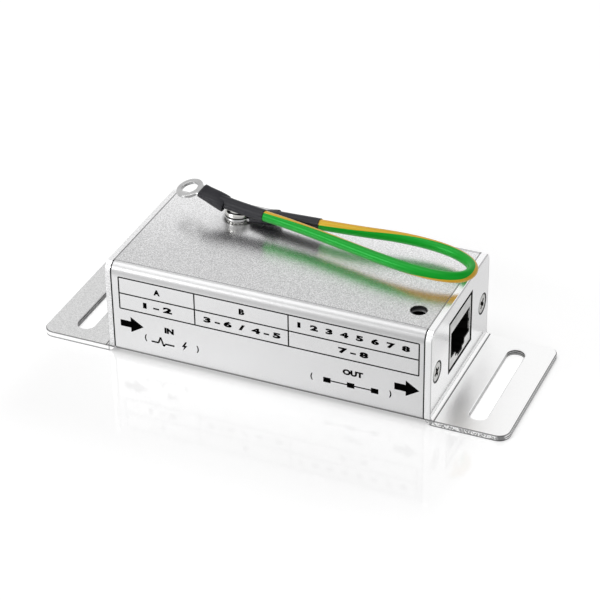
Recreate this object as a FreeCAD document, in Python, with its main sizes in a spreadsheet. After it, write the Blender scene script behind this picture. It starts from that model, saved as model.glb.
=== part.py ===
import FreeCAD, Part
import math
import os
import re
import Sketcher

# Ethernet surge protector: an extruded aluminium housing with a bent, slotted end plate at each end,
# a shielded jack in each plate, the board between them, and an earth lead screwed to the top.
#
# Frame: millimetres, X along the housing with the OUT jack at +X, Z up, the front face at -Y,
# the origin at the middle of the base, on the surface that the protector stands on.

Vector = FreeCAD.Vector
Rotation = FreeCAD.Rotation
Placement = FreeCAD.Placement

os.makedirs("parts", exist_ok=True)
doc = FreeCAD.newDocument("ethernet_surge_protector")

# Driving dimensions

SIZES = {
    # housing
    "housing_length": 81.5,
    "housing_width": 40.4,
    "housing_height": 25.5,
    "wall": 1.6,
    "corner_radius": 2.5,
    "rail_depth": 1.3,
    "rail_thickness": 1.0,
    "channel_radius": 2.4,
    "channel_slit": 1.0,
    # end plates
    "plate_overhang": 0.05,
    "plate_thickness": 1.5,
    "flange_length": 19.0,
    "bend_radius": 0.8,
    "flange_corner_radius": 3.0,
    "mount_slot_width": 4.5,
    "mount_slot_length": 31.5,
    "mount_slot_offset": 9.8,
    "edge_break": 0.2,
    "seam_break": 0.15,
    # end plate screws
    "screw_inset": 4.3,
    "screw_height": 12.6,
    "screw_core": 2.5,
    "screw_length": 8.0,
    "screw_head_width": 5.3,
    "screw_head_land": 0.15,
    "screw_hole": 3.3,
    "recess_width": 3.0,
    "recess_arm": 0.8,
    "recess_depth": 1.1,
    "thread_clearance": 0.1,
    # board
    "board_thickness": 1.6,
    "board_top": 7.25,
    "board_clearance": 0.15,
    "board_end_gap": 0.5,
    # jacks
    "jack_width": 15.5,
    "jack_height": 13.5,
    "jack_depth": 18.0,
    "jack_clearance": 0.25,
    "jack_recess": 0.3,
    "shield_sheet": 0.3,
    "shield_clearance": 0.05,
    "plug_width": 11.8,
    "plug_bottom": 3.1,
    "plug_top": 10.2,
    "plug_depth": 12.6,
    "latch_width": 6.4,
    "latch_bottom": 1.8,
    "latch_tip_width": 3.4,
    "latch_tip_bottom": 0.9,
    "spring_room": 0.7,
    "spring_height": 2.6,
    "spring_sheet": 0.2,
    "contact_count": 8,
    "contact_pitch": 1.02,
    "contact_width": 0.4,
    "contact_sheet": 0.3,
    "contact_slot": 0.6,
    "contact_clearance": 0.1,
    "contact_run_height": 11.75,
    "contact_back": 15.8,
    "contact_front": 1.9,
    "contact_tip_back": 9.4,
    "contact_tip_height": 7.5,
    "contact_tail": 3.0,
    "peg_radius": 1.5,
    "peg_back": 9.0,
    "peg_spacing": 12.7,
    "peg_length": 1.5,
    # parts on the board
    "tube_count": 4,
    "tube_gap": 0.6,
    "tube_length": 8.0,
    "tube_waist": 0.2,
    "tube_place": -6.0,
    "resistor_count": 8,
    "resistor_margin": 3.65,
    "resistor_length": 3.2,
    "resistor_width": 1.6,
    "resistor_height": 0.6,
    "resistor_cap": 0.4,
    "resistor_place": 3.0,
    "diode_count": 4,
    "diode_margin": 4.65,
    "diode_length": 4.4,
    "diode_width": 3.6,
    "diode_height": 2.2,
    "diode_lead": 0.7,
    "diode_place": 11.0,
    # earth point
    "ground_x": -20.85,
    "ground_inset": 8.7,
    "ground_hole": 4.2,
    "spare_hole_x": 35.8,
    "spare_hole_inset": 8.7,
    "ground_screw_width": 4.0,
    "ground_screw_length": 10.0,
    "ground_head_width": 7.0,
    "ground_head_height": 2.1,
    "ground_head_bevel": 1.05,
    "ground_recess_width": 3.9,
    "ground_recess_arm": 1.0,
    "ground_recess_depth": 1.3,
    "washer_width": 8.0,
    "washer_thickness": 0.5,
    "washer_teeth": 12,
    "washer_notch_depth": 0.9,
    "washer_notch_width": 0.9,
    "strap_sheet": 0.5,
    "strap_eye_width": 7.0,
    "strap_leg_out": 6.0,
    "strap_leg_width": 4.5,
    "strap_leg_side": 3.3,
    "strap_foot_length": 4.0,
    "nut_width": 7.0,
    "nut_height": 3.2,
    # earth lead
    "ring_width": 7.0,
    "ring_hole": 4.3,
    "ring_sheet": 0.8,
    "ring_neck_width": 3.6,
    "ring_reach": 3.6,
    "barrel_rise": 0.75,
    "barrel_radius": 1.0,
    "barrel_bore": 0.6,
    "barrel_start": 2.5,
    "barrel_length": 3.0,
    "sleeve_length": 6.9,
    "sleeve_start": 0.45,
    "sleeve_flat_width": 4.2,
    "sleeve_flat_height": 1.9,
    "sleeve_flat_drop": 0.5,
    "sleeve_flat_corner": 0.55,
    "sleeve_end_width": 4.8,
    "sleeve_end_height": 3.7,
    "sleeve_end_corner": 1.05,
    "sleeve_clearance": 0.05,
    "shrink_width": 3.1,
    "wire_width": 2.7,
}

sheet = doc.addObject("Spreadsheet::Sheet", "Sizes")
for row, (alias, number) in enumerate(SIZES.items(), start=1):
    sheet.set(f"A{row}", alias)
    sheet.set(f"B{row}", str(number))
    sheet.setAlias(f"B{row}", alias)
doc.recompute()

WORDS = re.compile(r"[a-z_]{3,}")


def cell(word):
    return "Sizes." + word.group(0) if word.group(0) in SIZES else word.group(0)


def bound(text):
    """The expression with each size written as the sheet's own cell."""
    return WORDS.sub(cell, text)


def value(text):
    """The number that an expression on the sizes gives now."""
    return float(sheet.evalExpression(bound(text)))


# Helpers for bodies and sketches

SUBPARTS = []


def new_body(label, keep=True):
    body = doc.addObject("PartDesign::Body", label)
    body.Label = label
    body.AllowCompound = True
    if keep:
        SUBPARTS.append(body)
    return body


def origin_feature(body, role):
    for feature in body.Origin.OriginFeatures:
        if feature.Role == role:
            return feature
    raise ValueError(role)


def new_sketch(body, plane, offset="0"):
    """A sketch on one of the body's own origin planes, moved along the plane's normal."""
    sketch = body.newObject("Sketcher::SketchObject", "Sketch")
    sketch.AttachmentSupport = [(origin_feature(body, plane), "")]
    sketch.MapMode = "FlatFace"
    if offset != "0":
        sketch.AttachmentOffset = Placement(Vector(0, 0, value(offset)), Rotation())
        sketch.setExpression(".AttachmentOffset.Base.z", bound(offset))
    return sketch


def bind(sketch, constraint, expression):
    index = sketch.addConstraint(constraint)
    sketch.setExpression(f"Constraints[{index}]", bound(expression))


def pin(sketch, geometry, vertex, x, y):
    """Hold one vertex at two expressions, measured from the sketch's origin."""
    for kind, axis, expression in (("DistanceX", -2, x), ("DistanceY", -1, y)):
        if expression == "0":
            sketch.addConstraint(Sketcher.Constraint("PointOnObject", geometry, vertex, axis))
        else:
            distance = Sketcher.Constraint(kind, -1, 1, geometry, vertex, value(expression))
            bind(sketch, distance, expression)


def draw_outline(sketch, corners):
    """A closed outline of straight lines through pairs of expressions."""
    points = [Vector(value(x), value(y), 0) for x, y in corners]
    first = sketch.GeometryCount
    count = len(points)
    for index in range(count):
        sketch.addGeometry(Part.LineSegment(points[index], points[(index + 1) % count]), False)
    for index in range(count):
        following = first + (index + 1) % count
        sketch.addConstraint(Sketcher.Constraint("Coincident", first + index, 2, following, 1))
    for index, (x, y) in enumerate(corners):
        pin(sketch, first + index, 1, x, y)


def draw_rectangle(sketch, left, right, bottom, top):
    draw_outline(sketch, [(left, bottom), (right, bottom), (right, top), (left, top)])


def draw_circle(sketch, x, y, radius):
    centre = Vector(value(x), value(y), 0)
    circle = sketch.addGeometry(Part.Circle(centre, Vector(0, 0, 1), value(radius)), False)
    pin(sketch, circle, 3, x, y)
    bind(sketch, Sketcher.Constraint("Radius", circle, value(radius)), radius)


def draw_slot(sketch, x, y, length, width, upright=True):
    """A slot with round ends about a centre, along the sketch's Y when upright and else along its X."""
    radius = f"({width}) / 2"
    half = f"(({length}) - ({width})) / 2"
    if upright:
        ends = [(x, f"({y}) + {half}"), (x, f"({y}) - {half}")]
        start = 0.0
    else:
        ends = [(f"({x}) - {half}", y), (f"({x}) + {half}", y)]
        start = math.pi / 2
    arcs = []
    for number, (end_x, end_y) in enumerate(ends):
        circle = Part.Circle(Vector(value(end_x), value(end_y), 0), Vector(0, 0, 1), value(radius))
        begin = start + number * math.pi
        arcs.append(sketch.addGeometry(Part.ArcOfCircle(circle, begin, begin + math.pi), False))
    first, second = (sketch.Geometry[arc] for arc in arcs)
    sides = [
        sketch.addGeometry(Part.LineSegment(first.EndPoint, second.StartPoint), False),
        sketch.addGeometry(Part.LineSegment(second.EndPoint, first.StartPoint), False),
    ]
    sketch.addConstraint(Sketcher.Constraint("Tangent", arcs[0], 2, sides[0], 1))
    sketch.addConstraint(Sketcher.Constraint("Tangent", sides[0], 2, arcs[1], 1))
    sketch.addConstraint(Sketcher.Constraint("Tangent", arcs[1], 2, sides[1], 1))
    sketch.addConstraint(Sketcher.Constraint("Tangent", sides[1], 2, arcs[0], 1))
    for arc, (end_x, end_y) in zip(arcs, ends):
        pin(sketch, arc, 3, end_x, end_y)
    sketch.addConstraint(Sketcher.Constraint("Equal", arcs[0], arcs[1]))
    bind(sketch, Sketcher.Constraint("Radius", arcs[0], value(radius)), radius)


# Helpers for features

def pad(body, sketch, length, both_ways=False, reverse=False):
    feature = body.newObject("PartDesign::Pad", "Pad")
    feature.Profile = sketch
    feature.SideType = "Symmetric" if both_ways else "One side"
    feature.Reversed = reverse
    feature.setExpression("Length", bound(length))
    doc.recompute()
    return feature


def check_smaller(feature, before):
    """A cut that misses the solid gives no error, so its volume is compared."""
    if not feature.Shape.Volume < before - 1e-6:
        raise ValueError(f"{feature.getParent().Label}: {feature.Label} cuts nothing")


def pocket(body, sketch, depth, both_ways=False, reverse=False):
    before = body.Tip.Shape.Volume
    feature = body.newObject("PartDesign::Pocket", "Pocket")
    feature.Profile = sketch
    feature.SideType = "Symmetric" if both_ways else "One side"
    feature.Reversed = reverse
    feature.setExpression("Length", bound(depth))
    doc.recompute()
    check_smaller(feature, before)
    return feature


def revolve(body, sketch, axis):
    feature = body.newObject("PartDesign::Revolution", "Revolution")
    feature.Profile = sketch
    feature.ReferenceAxis = (origin_feature(body, axis), [""])
    feature.Angle = 360
    doc.recompute()
    return feature


def edge_names(feature, chosen):
    """Names of the edges for which chosen(middle, tangent) is true."""
    names = []
    for number, edge in enumerate(feature.Shape.Edges, start=1):
        half = (edge.FirstParameter + edge.LastParameter) / 2
        if chosen(edge.valueAt(half), edge.tangentAt(half)):
            names.append(f"Edge{number}")
    if not names:
        raise ValueError(f"{feature.Label}: no such edge")
    return names


def fillet(body, radius, chosen):
    base = body.Tip
    feature = body.newObject("PartDesign::Fillet", "Fillet")
    feature.Base = (base, edge_names(base, chosen))
    feature.setExpression("Radius", bound(radius))
    doc.recompute()
    return feature


def chamfer(body, size, chosen):
    base = body.Tip
    feature = body.newObject("PartDesign::Chamfer", "Chamfer")
    feature.Base = (base, edge_names(base, chosen))
    feature.setExpression("Size", bound(size))
    doc.recompute()
    return feature


def repeat(body, feature, axis, count, pitch):
    """Copies of a feature along an origin axis, the first copy in place."""
    pattern = body.newObject("PartDesign::LinearPattern", "Pattern")
    pattern.Originals = [feature]
    pattern.Direction = (origin_feature(body, axis), [""])
    pattern.setExpression("Length", bound(f"({count} - 1) * {pitch}"))
    pattern.setExpression("Occurrences", bound(count))
    body.Tip = pattern
    doc.recompute()
    return pattern


def place(body, x="0", y="0", z="0", rotation=Rotation()):
    body.Placement = Placement(Vector(value(x), value(y), value(z)), rotation)
    for axis, expression in zip("xyz", (x, y, z)):
        body.setExpression(f".Placement.Base.{axis}", bound(expression))


def near(first, second, tolerance=1e-4):
    return abs(first - second) < tolerance


TURNED = Rotation(Vector(0, 0, 1), 180)
OUTER_FACE = "housing_length / 2 + plate_thickness"
SCREW_Y = "(housing_width / 2 - screw_inset)"
BOARD_SIDE = "(housing_width / 2 - wall - board_clearance)"
GROUND_Y = "(housing_width / 2 - ground_inset)"


# Housing: one extrusion with two rails for the board and a screw channel on each side wall

def mirrored(side):
    """A half outline from bottom to top, and its mirror image back down."""
    other = [(f"-({y})", z) for y, z in reversed(side)]
    return side + other


def make_housing():
    body = new_body("housing")
    outline = new_sketch(body, "YZ_Plane")
    draw_rectangle(outline, "-housing_width / 2", "housing_width / 2", "0", "housing_height")
    pad(body, outline, "housing_length", both_ways=True)
    fillet(body, "corner_radius", lambda middle, tangent: near(abs(tangent.x), 1))

    wall_y = "housing_width / 2 - wall"
    rail_y = "housing_width / 2 - wall - rail_depth"
    channel_y = f"{SCREW_Y} - channel_radius"
    board_bottom = "board_top - board_thickness"
    slot_top = "board_top + board_clearance"
    inside = new_sketch(body, "YZ_Plane")
    draw_outline(inside, mirrored([
        (wall_y, "wall"),
        (wall_y, f"{board_bottom} - rail_thickness"),
        (rail_y, f"{board_bottom} - rail_thickness"),
        (rail_y, board_bottom),
        (wall_y, board_bottom),
        (wall_y, slot_top),
        (rail_y, slot_top),
        (rail_y, f"{slot_top} + rail_thickness"),
        (wall_y, f"{slot_top} + rail_thickness"),
        (wall_y, "screw_height - channel_radius"),
        (channel_y, "screw_height - channel_radius"),
        (channel_y, "screw_height + channel_radius"),
        (wall_y, "screw_height + channel_radius"),
        (wall_y, "housing_height - wall"),
    ]))
    pocket(body, inside, "housing_length + 2", both_ways=True)
    half_length = value("housing_length / 2")
    outer_y = value("housing_width / 2 - corner_radius")
    outer_z = value("housing_height - corner_radius")
    chamfer(body, "seam_break", lambda middle, tangent: near(abs(middle.x), half_length)
            and (abs(middle.y) > outer_y or middle.z > outer_z))

    bores = new_sketch(body, "YZ_Plane")
    for sign in ("", "-"):
        draw_circle(bores, f"{sign}{SCREW_Y}", "screw_height", "(screw_core + thread_clearance) / 2")
    pocket(body, bores, "housing_length + 2", both_ways=True)

    slits = new_sketch(body, "YZ_Plane")
    low = "screw_height - channel_slit / 2"
    high = "screw_height + channel_slit / 2"
    draw_rectangle(slits, f"{SCREW_Y} - channel_radius - 1", SCREW_Y, low, high)
    draw_rectangle(slits, f"-{SCREW_Y}", f"-{SCREW_Y} + channel_radius + 1", low, high)
    pocket(body, slits, "housing_length + 2", both_ways=True)

    top_holes = new_sketch(body, "XY_Plane", "housing_height")
    draw_circle(top_holes, "ground_x", GROUND_Y, "ground_hole / 2")
    draw_circle(top_holes, "spare_hole_x", "-housing_width / 2 + spare_hole_inset", "ground_hole / 2")
    pocket(body, top_holes, "wall * 2")


# End plates: sheet bent outward at the bottom, with the jack opening and a slotted flange

def make_end_plate(label, end):
    body = new_body(label)
    flange_end = "plate_thickness + flange_length"
    profile = new_sketch(body, "XZ_Plane")
    draw_outline(profile, [
        ("0", "0"),
        (flange_end, "0"),
        (flange_end, "plate_thickness"),
        ("plate_thickness", "plate_thickness"),
        ("plate_thickness", "housing_height"),
        ("0", "housing_height"),
    ])
    pad(body, profile, "housing_width + 2 * plate_overhang", both_ways=True)
    sheet_thickness = value("plate_thickness")
    height = value("housing_height")
    flange_x = value(flange_end)

    def along_y(tangent):
        return near(abs(tangent.y), 1)

    fillet(body, "bend_radius", lambda middle, tangent: along_y(tangent)
           and near(middle.x, sheet_thickness) and near(middle.z, sheet_thickness))
    fillet(body, "bend_radius + plate_thickness", lambda middle, tangent: along_y(tangent)
           and near(middle.x, 0) and near(middle.z, 0))
    fillet(body, "corner_radius", lambda middle, tangent: near(abs(tangent.x), 1)
           and near(middle.z, height))
    fillet(body, "flange_corner_radius", lambda middle, tangent: near(abs(tangent.z), 1)
           and near(middle.x, flange_x))

    opening = new_sketch(body, "YZ_Plane")
    half_width = "(jack_width / 2 + jack_clearance)"
    low = "board_top - jack_clearance"
    draw_rectangle(opening, f"-{half_width}", half_width, low, "board_top + jack_height + jack_clearance")
    pocket(body, opening, "plate_thickness * 4", both_ways=True)

    slot = new_sketch(body, "XY_Plane")
    draw_slot(slot, "plate_thickness + mount_slot_offset", "0", "mount_slot_length", "mount_slot_width")
    pocket(body, slot, "plate_thickness * 4", both_ways=True)

    def on_outer_outline(middle, tangent):
        on_face = near(middle.x, sheet_thickness) and middle.z > sheet_thickness + 1
        on_flange = near(middle.z, sheet_thickness) and middle.x > sheet_thickness + 1
        return on_face or on_flange

    chamfer(body, "edge_break", on_outer_outline)

    screws = new_sketch(body, "YZ_Plane", "plate_thickness")
    for sign in ("", "-"):
        draw_circle(screws, f"{sign}{SCREW_Y}", "screw_height", "screw_hole / 2")
    doc.recompute()
    before = body.Tip.Shape.Volume
    hole = body.newObject("PartDesign::Hole", "Hole")
    hole.Profile = screws
    hole.DepthType = "ThroughAll"
    hole.Threaded = False
    hole.setExpression("Diameter", bound("screw_hole"))
    hole.HoleCutType = "Countersink"
    hole.HoleCutCustomValues = True
    hole.setExpression("HoleCutDiameter", bound("screw_head_width + 2 * screw_head_land"))
    hole.HoleCutCountersinkAngle = 90
    doc.recompute()
    check_smaller(hole, before)

    place(body, f"{end}housing_length / 2", rotation=Rotation() if end == "" else TURNED)


# Countersunk screws of the end plates, modelled at the core of their thread

def cross_outline(width, arm):
    """The twelve corners of a cross, from its right arm round to the left."""
    reach = f"{width} / 2"
    half = f"{arm} / 2"
    return [
        (reach, f"-{half}"), (reach, half), (half, half), (half, reach),
        (f"-{half}", reach), (f"-{half}", half), (f"-{reach}", half), (f"-{reach}", f"-{half}"),
        (f"-{half}", f"-{half}"), (f"-{half}", f"-{reach}"), (half, f"-{reach}"), (half, f"-{half}"),
    ]


def make_plate_screw(number, end, side):
    body = new_body(f"end_plate_screw_{number}", keep=False)
    profile = new_sketch(body, "XZ_Plane")
    rim = "screw_head_width / 2"
    core = "screw_core / 2"
    draw_outline(profile, [
        ("0", "0"),
        ("0", rim),
        ("-screw_head_land", rim),
        (f"-screw_head_land - {rim} + {core}", core),
        ("-screw_length", core),
        ("-screw_length", "0"),
    ])
    revolve(body, profile, "X_Axis")
    recess = new_sketch(body, "YZ_Plane")
    draw_outline(recess, cross_outline("recess_width", "recess_arm"))
    pocket(body, recess, "recess_depth")
    place(body, f"{end}({OUTER_FACE})", f"{side}{SCREW_Y}", "screw_height",
          Rotation() if end == "" else TURNED)
    return body


def make_plate_screws():
    group = doc.addObject("Part::Compound", "end_plate_screws")
    corners = [(end, side) for end in ("", "-") for side in ("", "-")]
    group.Links = [make_plate_screw(number, *corner) for number, corner in enumerate(corners, start=1)]
    SUBPARTS.append(group)


# Circuit board, with the holes for the jacks' pegs and contacts

def make_board():
    body = new_body("circuit_board")
    half_length = "(housing_length / 2 - board_end_gap)"
    outline = new_sketch(body, "XY_Plane")
    draw_rectangle(outline, f"-{half_length}", half_length, f"-{BOARD_SIDE}", BOARD_SIDE)
    pad(body, outline, "board_thickness", reverse=True)

    pegs = new_sketch(body, "XY_Plane")
    for end in ("", "-"):
        for side in ("", "-"):
            back = f"{end}({OUTER_FACE} - jack_recess - peg_back)"
            draw_circle(pegs, back, f"{side}peg_spacing / 2", "peg_radius + contact_clearance")
    pocket(body, pegs, "board_thickness * 2", both_ways=True)

    for end in ("", "-"):
        holes = new_sketch(body, "XY_Plane")
        back = f"{end}({OUTER_FACE} - jack_recess - contact_back + contact_sheet / 2)"
        middle = "-contact_pitch * (contact_count - 1) / 2"
        half = "(contact_width / 2 + contact_clearance)"
        draw_rectangle(holes, f"{back} - {half}", f"{back} + {half}", f"{middle} - {half}", f"{middle} + {half}")
        hole = pocket(body, holes, "board_thickness * 2", both_ways=True)
        repeat(body, hole, "Y_Axis", "contact_count", "contact_pitch")

    place(body, z="board_top")


# Jacks: folded shield, plastic insert and eight spring contacts.
# Each is drawn with its front face at x = 0, its opening towards +x and the board's top at z = 0.

def plug_outline(half_width):
    """The front view of the plug opening with the stepped notch of its latch at the bottom."""
    latch = "latch_width / 2"
    tip = "latch_tip_width / 2"
    right = [
        (tip, "latch_tip_bottom"),
        (tip, "latch_bottom"),
        (latch, "latch_bottom"),
        (latch, "plug_bottom"),
        (half_width, "plug_bottom"),
        (half_width, "plug_top"),
    ]
    return mirrored(right)


def place_jack_piece(body, end):
    place(body, f"{end}({OUTER_FACE} - jack_recess)", z="board_top",
          rotation=Rotation() if end == "" else TURNED)


def make_jack_shield(label, end):
    body = new_body(label)
    box = new_sketch(body, "YZ_Plane")
    draw_rectangle(box, "-jack_width / 2", "jack_width / 2", "0", "jack_height")
    pad(body, box, "jack_depth", reverse=True)

    inner_half = "(jack_width / 2 - shield_sheet)"
    inside = new_sketch(body, "XY_Plane")
    draw_rectangle(inside, "-jack_depth + shield_sheet", "-shield_sheet", f"-{inner_half}", inner_half)
    pocket(body, inside, "jack_height - shield_sheet", reverse=True)

    opening = new_sketch(body, "YZ_Plane")
    draw_outline(opening, plug_outline("plug_width / 2"))
    pocket(body, opening, "shield_sheet * 2")

    # side springs that press on the plug's own shield, folded in from the edge of the opening
    middle = "(plug_bottom + plug_top) / 2"
    springs = new_sketch(body, "XY_Plane", middle)
    edge = "plug_width / 2"
    root = f"{edge} + spring_sheet * 1.5"
    for sign in ("", "-"):
        draw_outline(springs, [
            ("-shield_sheet / 2", f"{sign}({edge} + spring_sheet / 2)"),
            ("-plug_depth * 0.35", f"{sign}({edge} - spring_sheet * 1.5)"),
            ("-plug_depth * 0.6", f"{sign}({edge} + spring_sheet / 2)"),
            ("-plug_depth * 0.6", f"{sign}({root})"),
            ("-plug_depth * 0.35", f"{sign}({edge} - spring_sheet / 2)"),
            ("-shield_sheet / 2", f"{sign}({root})"),
        ])
    pad(body, springs, "spring_height", both_ways=True)
    place_jack_piece(body, end)


def make_jack_body(label, end):
    body = new_body(label)
    gap = "(shield_sheet + shield_clearance)"
    block = new_sketch(body, "YZ_Plane", f"-{gap}")
    half_width = f"(jack_width / 2 - {gap})"
    draw_rectangle(block, f"-{half_width}", half_width, "0", f"jack_height - {gap}")
    pad(body, block, f"jack_depth - 2 * {gap}", reverse=True)

    cavity = new_sketch(body, "YZ_Plane")
    draw_outline(cavity, plug_outline("(plug_width / 2 + spring_room)"))
    pocket(body, cavity, "plug_depth")

    # one slot for each contact: along the top, down the back, and open to the cavity in front
    slots = new_sketch(body, "XZ_Plane", "contact_pitch * (contact_count - 1) / 2")
    run = "contact_run_height - thread_clearance"
    roof = "plug_top - 0.3"
    comb_back = "-contact_tip_back - 1"
    rear = "-contact_back - 0.2"
    rear_inner = "-contact_back + contact_sheet + 0.2"
    front = "-contact_front + 0.2"
    draw_outline(slots, [
        (front, "jack_height"),
        (front, roof),
        (comb_back, roof),
        (comb_back, run),
        (rear_inner, run),
        (rear_inner, "-1"),
        (rear, "-1"),
        (rear, "jack_height"),
    ])
    slot = pocket(body, slots, "contact_slot", both_ways=True)
    repeat(body, slot, "Y_Axis", "contact_count", "contact_pitch")

    pegs = new_sketch(body, "XY_Plane")
    for side in ("", "-"):
        draw_circle(pegs, "-peg_back", f"{side}peg_spacing / 2", "peg_radius")
    pad(body, pegs, "peg_length", reverse=True)
    place_jack_piece(body, end)


def make_jack_contacts(label, end):
    """Strips that come up from the board, run forward over the cavity and fold back down into it."""
    body = new_body(label)
    profile = new_sketch(body, "XZ_Plane", "contact_pitch * (contact_count - 1) / 2")
    back = "-contact_back"
    run_top = "contact_run_height + contact_sheet"
    draw_outline(profile, [
        (back, "-contact_tail"),
        (back, run_top),
        ("-contact_front - contact_sheet * 0.7", run_top),
        ("-contact_front", "contact_run_height"),
        ("-contact_tip_back", "contact_tip_height"),
        ("-contact_tip_back - contact_sheet / 2", "contact_tip_height + contact_sheet * 0.93"),
        ("-contact_front - contact_sheet * 2.3", "contact_run_height"),
        (f"{back} + contact_sheet", "contact_run_height"),
        (f"{back} + contact_sheet", "-contact_tail"),
    ])
    strip = pad(body, profile, "contact_width", both_ways=True)
    repeat(body, strip, "Y_Axis", "contact_count", "contact_pitch")
    place_jack_piece(body, end)


# Parts on the board, in rows across it

def row_start(count, pitch):
    return f"-{pitch} * ({count} - 1) / 2"


def row_pitch(count, margin, width):
    """The pitch of a row that keeps a margin to each side of the board."""
    return f"((2 * ({BOARD_SIDE} - {margin}) - {width}) / ({count} - 1))"


def make_discharge_tubes():
    """Ceramic tubes with square metal end caps, lying along X and filling the room between the channels."""
    body = new_body("gas_discharge_tubes")
    caps = new_sketch(body, "YZ_Plane")
    room = f"2 * ({SCREW_Y} - channel_radius - tube_gap)"
    cap = f"(({room} - (tube_count - 1) * tube_gap) / tube_count)"
    pitch = f"({cap} + tube_gap)"
    draw_rectangle(caps, f"-{cap} / 2", f"{cap} / 2", "0", cap)
    ends = pad(body, caps, "tube_length", both_ways=True)
    waist = new_sketch(body, "YZ_Plane")
    draw_rectangle(waist, f"-{cap}", cap, f"-{cap}", f"{cap} * 2")
    draw_circle(waist, "0", f"{cap} / 2", f"{cap} / 2 - tube_waist")
    band = pocket(body, waist, "tube_length * 0.72", both_ways=True)
    pattern = repeat(body, ends, "Y_Axis", "tube_count", pitch)
    pattern.Originals = [ends, band]
    doc.recompute()
    place(body, "tube_place", row_start("tube_count", pitch), "board_top")


def make_resistors():
    body = new_body("series_resistors")
    outline = new_sketch(body, "XY_Plane")
    half_length = "resistor_length / 2"
    draw_rectangle(outline, f"-{half_length}", half_length, "-resistor_width / 2", "resistor_width / 2")
    chip = pad(body, outline, "resistor_height")
    top = new_sketch(body, "XY_Plane", "resistor_height")
    inner = "(resistor_length / 2 - resistor_cap)"
    draw_rectangle(top, f"-{inner}", inner, "-resistor_width", "resistor_width")
    step = pocket(body, top, "resistor_height * 0.1")
    pitch = row_pitch("resistor_count", "resistor_margin", "resistor_width")
    pattern = repeat(body, chip, "Y_Axis", "resistor_count", pitch)
    pattern.Originals = [chip, step]
    doc.recompute()
    place(body, "resistor_place", row_start("resistor_count", pitch), "board_top")


def make_diodes():
    """Moulded packages with tapered flanks and a flat lead folded under each end."""
    body = new_body("suppressor_diodes")
    profile = new_sketch(body, "XZ_Plane")
    half = "diode_length / 2"
    taper = "diode_height * 0.1"
    lead = "diode_lead"
    draw_outline(profile, [
        (f"-{half} + {taper}", "diode_height"),
        (f"-{half}", "diode_height / 2"),
        (f"-{half} - {lead} / 2", "diode_height / 2"),
        (f"-{half} - {lead} / 2", "0"),
        (f"-{half} + {lead}", "0"),
        (f"-{half} + {lead}", "diode_height * 0.1"),
        (f"{half} - {lead}", "diode_height * 0.1"),
        (f"{half} - {lead}", "0"),
        (f"{half} + {lead} / 2", "0"),
        (f"{half} + {lead} / 2", "diode_height / 2"),
        (half, "diode_height / 2"),
        (f"{half} - {taper}", "diode_height"),
    ])
    package = pad(body, profile, "diode_width", both_ways=True)
    pitch = row_pitch("diode_count", "diode_margin", "diode_width")
    repeat(body, package, "Y_Axis", "diode_count", pitch)
    place(body, "diode_place", row_start("diode_count", pitch), "board_top")


# Earth point: screw, toothed washer, strap and nut on one axis through the top wall

TERMINAL_TOP = "housing_height + washer_thickness + ring_sheet"


def make_ground_screw():
    body = new_body("ground_screw")
    profile = new_sketch(body, "XZ_Plane")
    shank = "ground_screw_width / 2"
    draw_outline(profile, [
        ("0", "-ground_screw_length"),
        (f"{shank} - 0.4", "-ground_screw_length"),
        (shank, "-ground_screw_length + 0.4"),
        (shank, "0"),
        ("ground_head_width / 2", "0"),
        ("ground_head_width / 2", "ground_head_height"),
        ("0", "ground_head_height"),
    ])
    revolve(body, profile, "Z_Axis")
    height = value("ground_head_height")
    chamfer(body, "ground_head_bevel", lambda middle, tangent: near(middle.z, height))
    recess = new_sketch(body, "XY_Plane", "ground_head_height")
    draw_outline(recess, cross_outline("ground_recess_width", "ground_recess_arm"))
    pocket(body, recess, "ground_recess_depth")
    place(body, "ground_x", GROUND_Y, TERMINAL_TOP)


def make_lock_washer():
    body = new_body("lock_washer")
    ring = new_sketch(body, "XY_Plane")
    draw_circle(ring, "0", "0", "washer_width / 2")
    draw_circle(ring, "0", "0", "ground_hole / 2")
    pad(body, ring, "washer_thickness")
    notches = new_sketch(body, "XY_Plane")
    root = "washer_width / 2 - washer_notch_depth"
    draw_outline(notches, [
        (root, "-washer_notch_width / 4"),
        ("washer_width / 2 + 1", "-washer_notch_width"),
        ("washer_width / 2 + 1", "washer_notch_width"),
        (root, "washer_notch_width / 4"),
    ])
    notch = pocket(body, notches, "washer_thickness", reverse=True)
    teeth = body.newObject("PartDesign::PolarPattern", "Teeth")
    teeth.Originals = [notch]
    teeth.Axis = (origin_feature(body, "Z_Axis"), [""])
    teeth.Angle = 360
    teeth.setExpression("Occurrences", bound("washer_teeth"))
    body.Tip = teeth
    doc.recompute()
    place(body, "ground_x", GROUND_Y, "housing_height")


def make_earth_strap():
    """Brass strip: an eye under the top wall, a leg down beside it and a foot on the board."""
    body = new_body("earth_strap")
    drop = "(housing_height - wall - board_top)"
    inner = "strap_leg_out - strap_sheet"
    profile = new_sketch(body, "XZ_Plane", "-strap_leg_width + strap_leg_side")
    draw_outline(profile, [
        ("0", "0"),
        ("strap_leg_out", "0"),
        ("strap_leg_out", f"-{drop} + strap_sheet"),
        (f"{inner} + strap_foot_length", f"-{drop} + strap_sheet"),
        (f"{inner} + strap_foot_length", f"-{drop}"),
        (inner, f"-{drop}"),
        (inner, "-strap_sheet"),
        ("0", "-strap_sheet"),
    ])
    pad(body, profile, "strap_leg_width")
    eye = new_sketch(body, "XY_Plane")
    draw_circle(eye, "0", "0", "strap_eye_width / 2")
    pad(body, eye, "strap_sheet", reverse=True)
    hole = new_sketch(body, "XY_Plane")
    draw_circle(hole, "0", "0", "ground_hole / 2")
    pocket(body, hole, "strap_sheet * 4", both_ways=True)
    place(body, "ground_x", GROUND_Y, "housing_height - wall")


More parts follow.
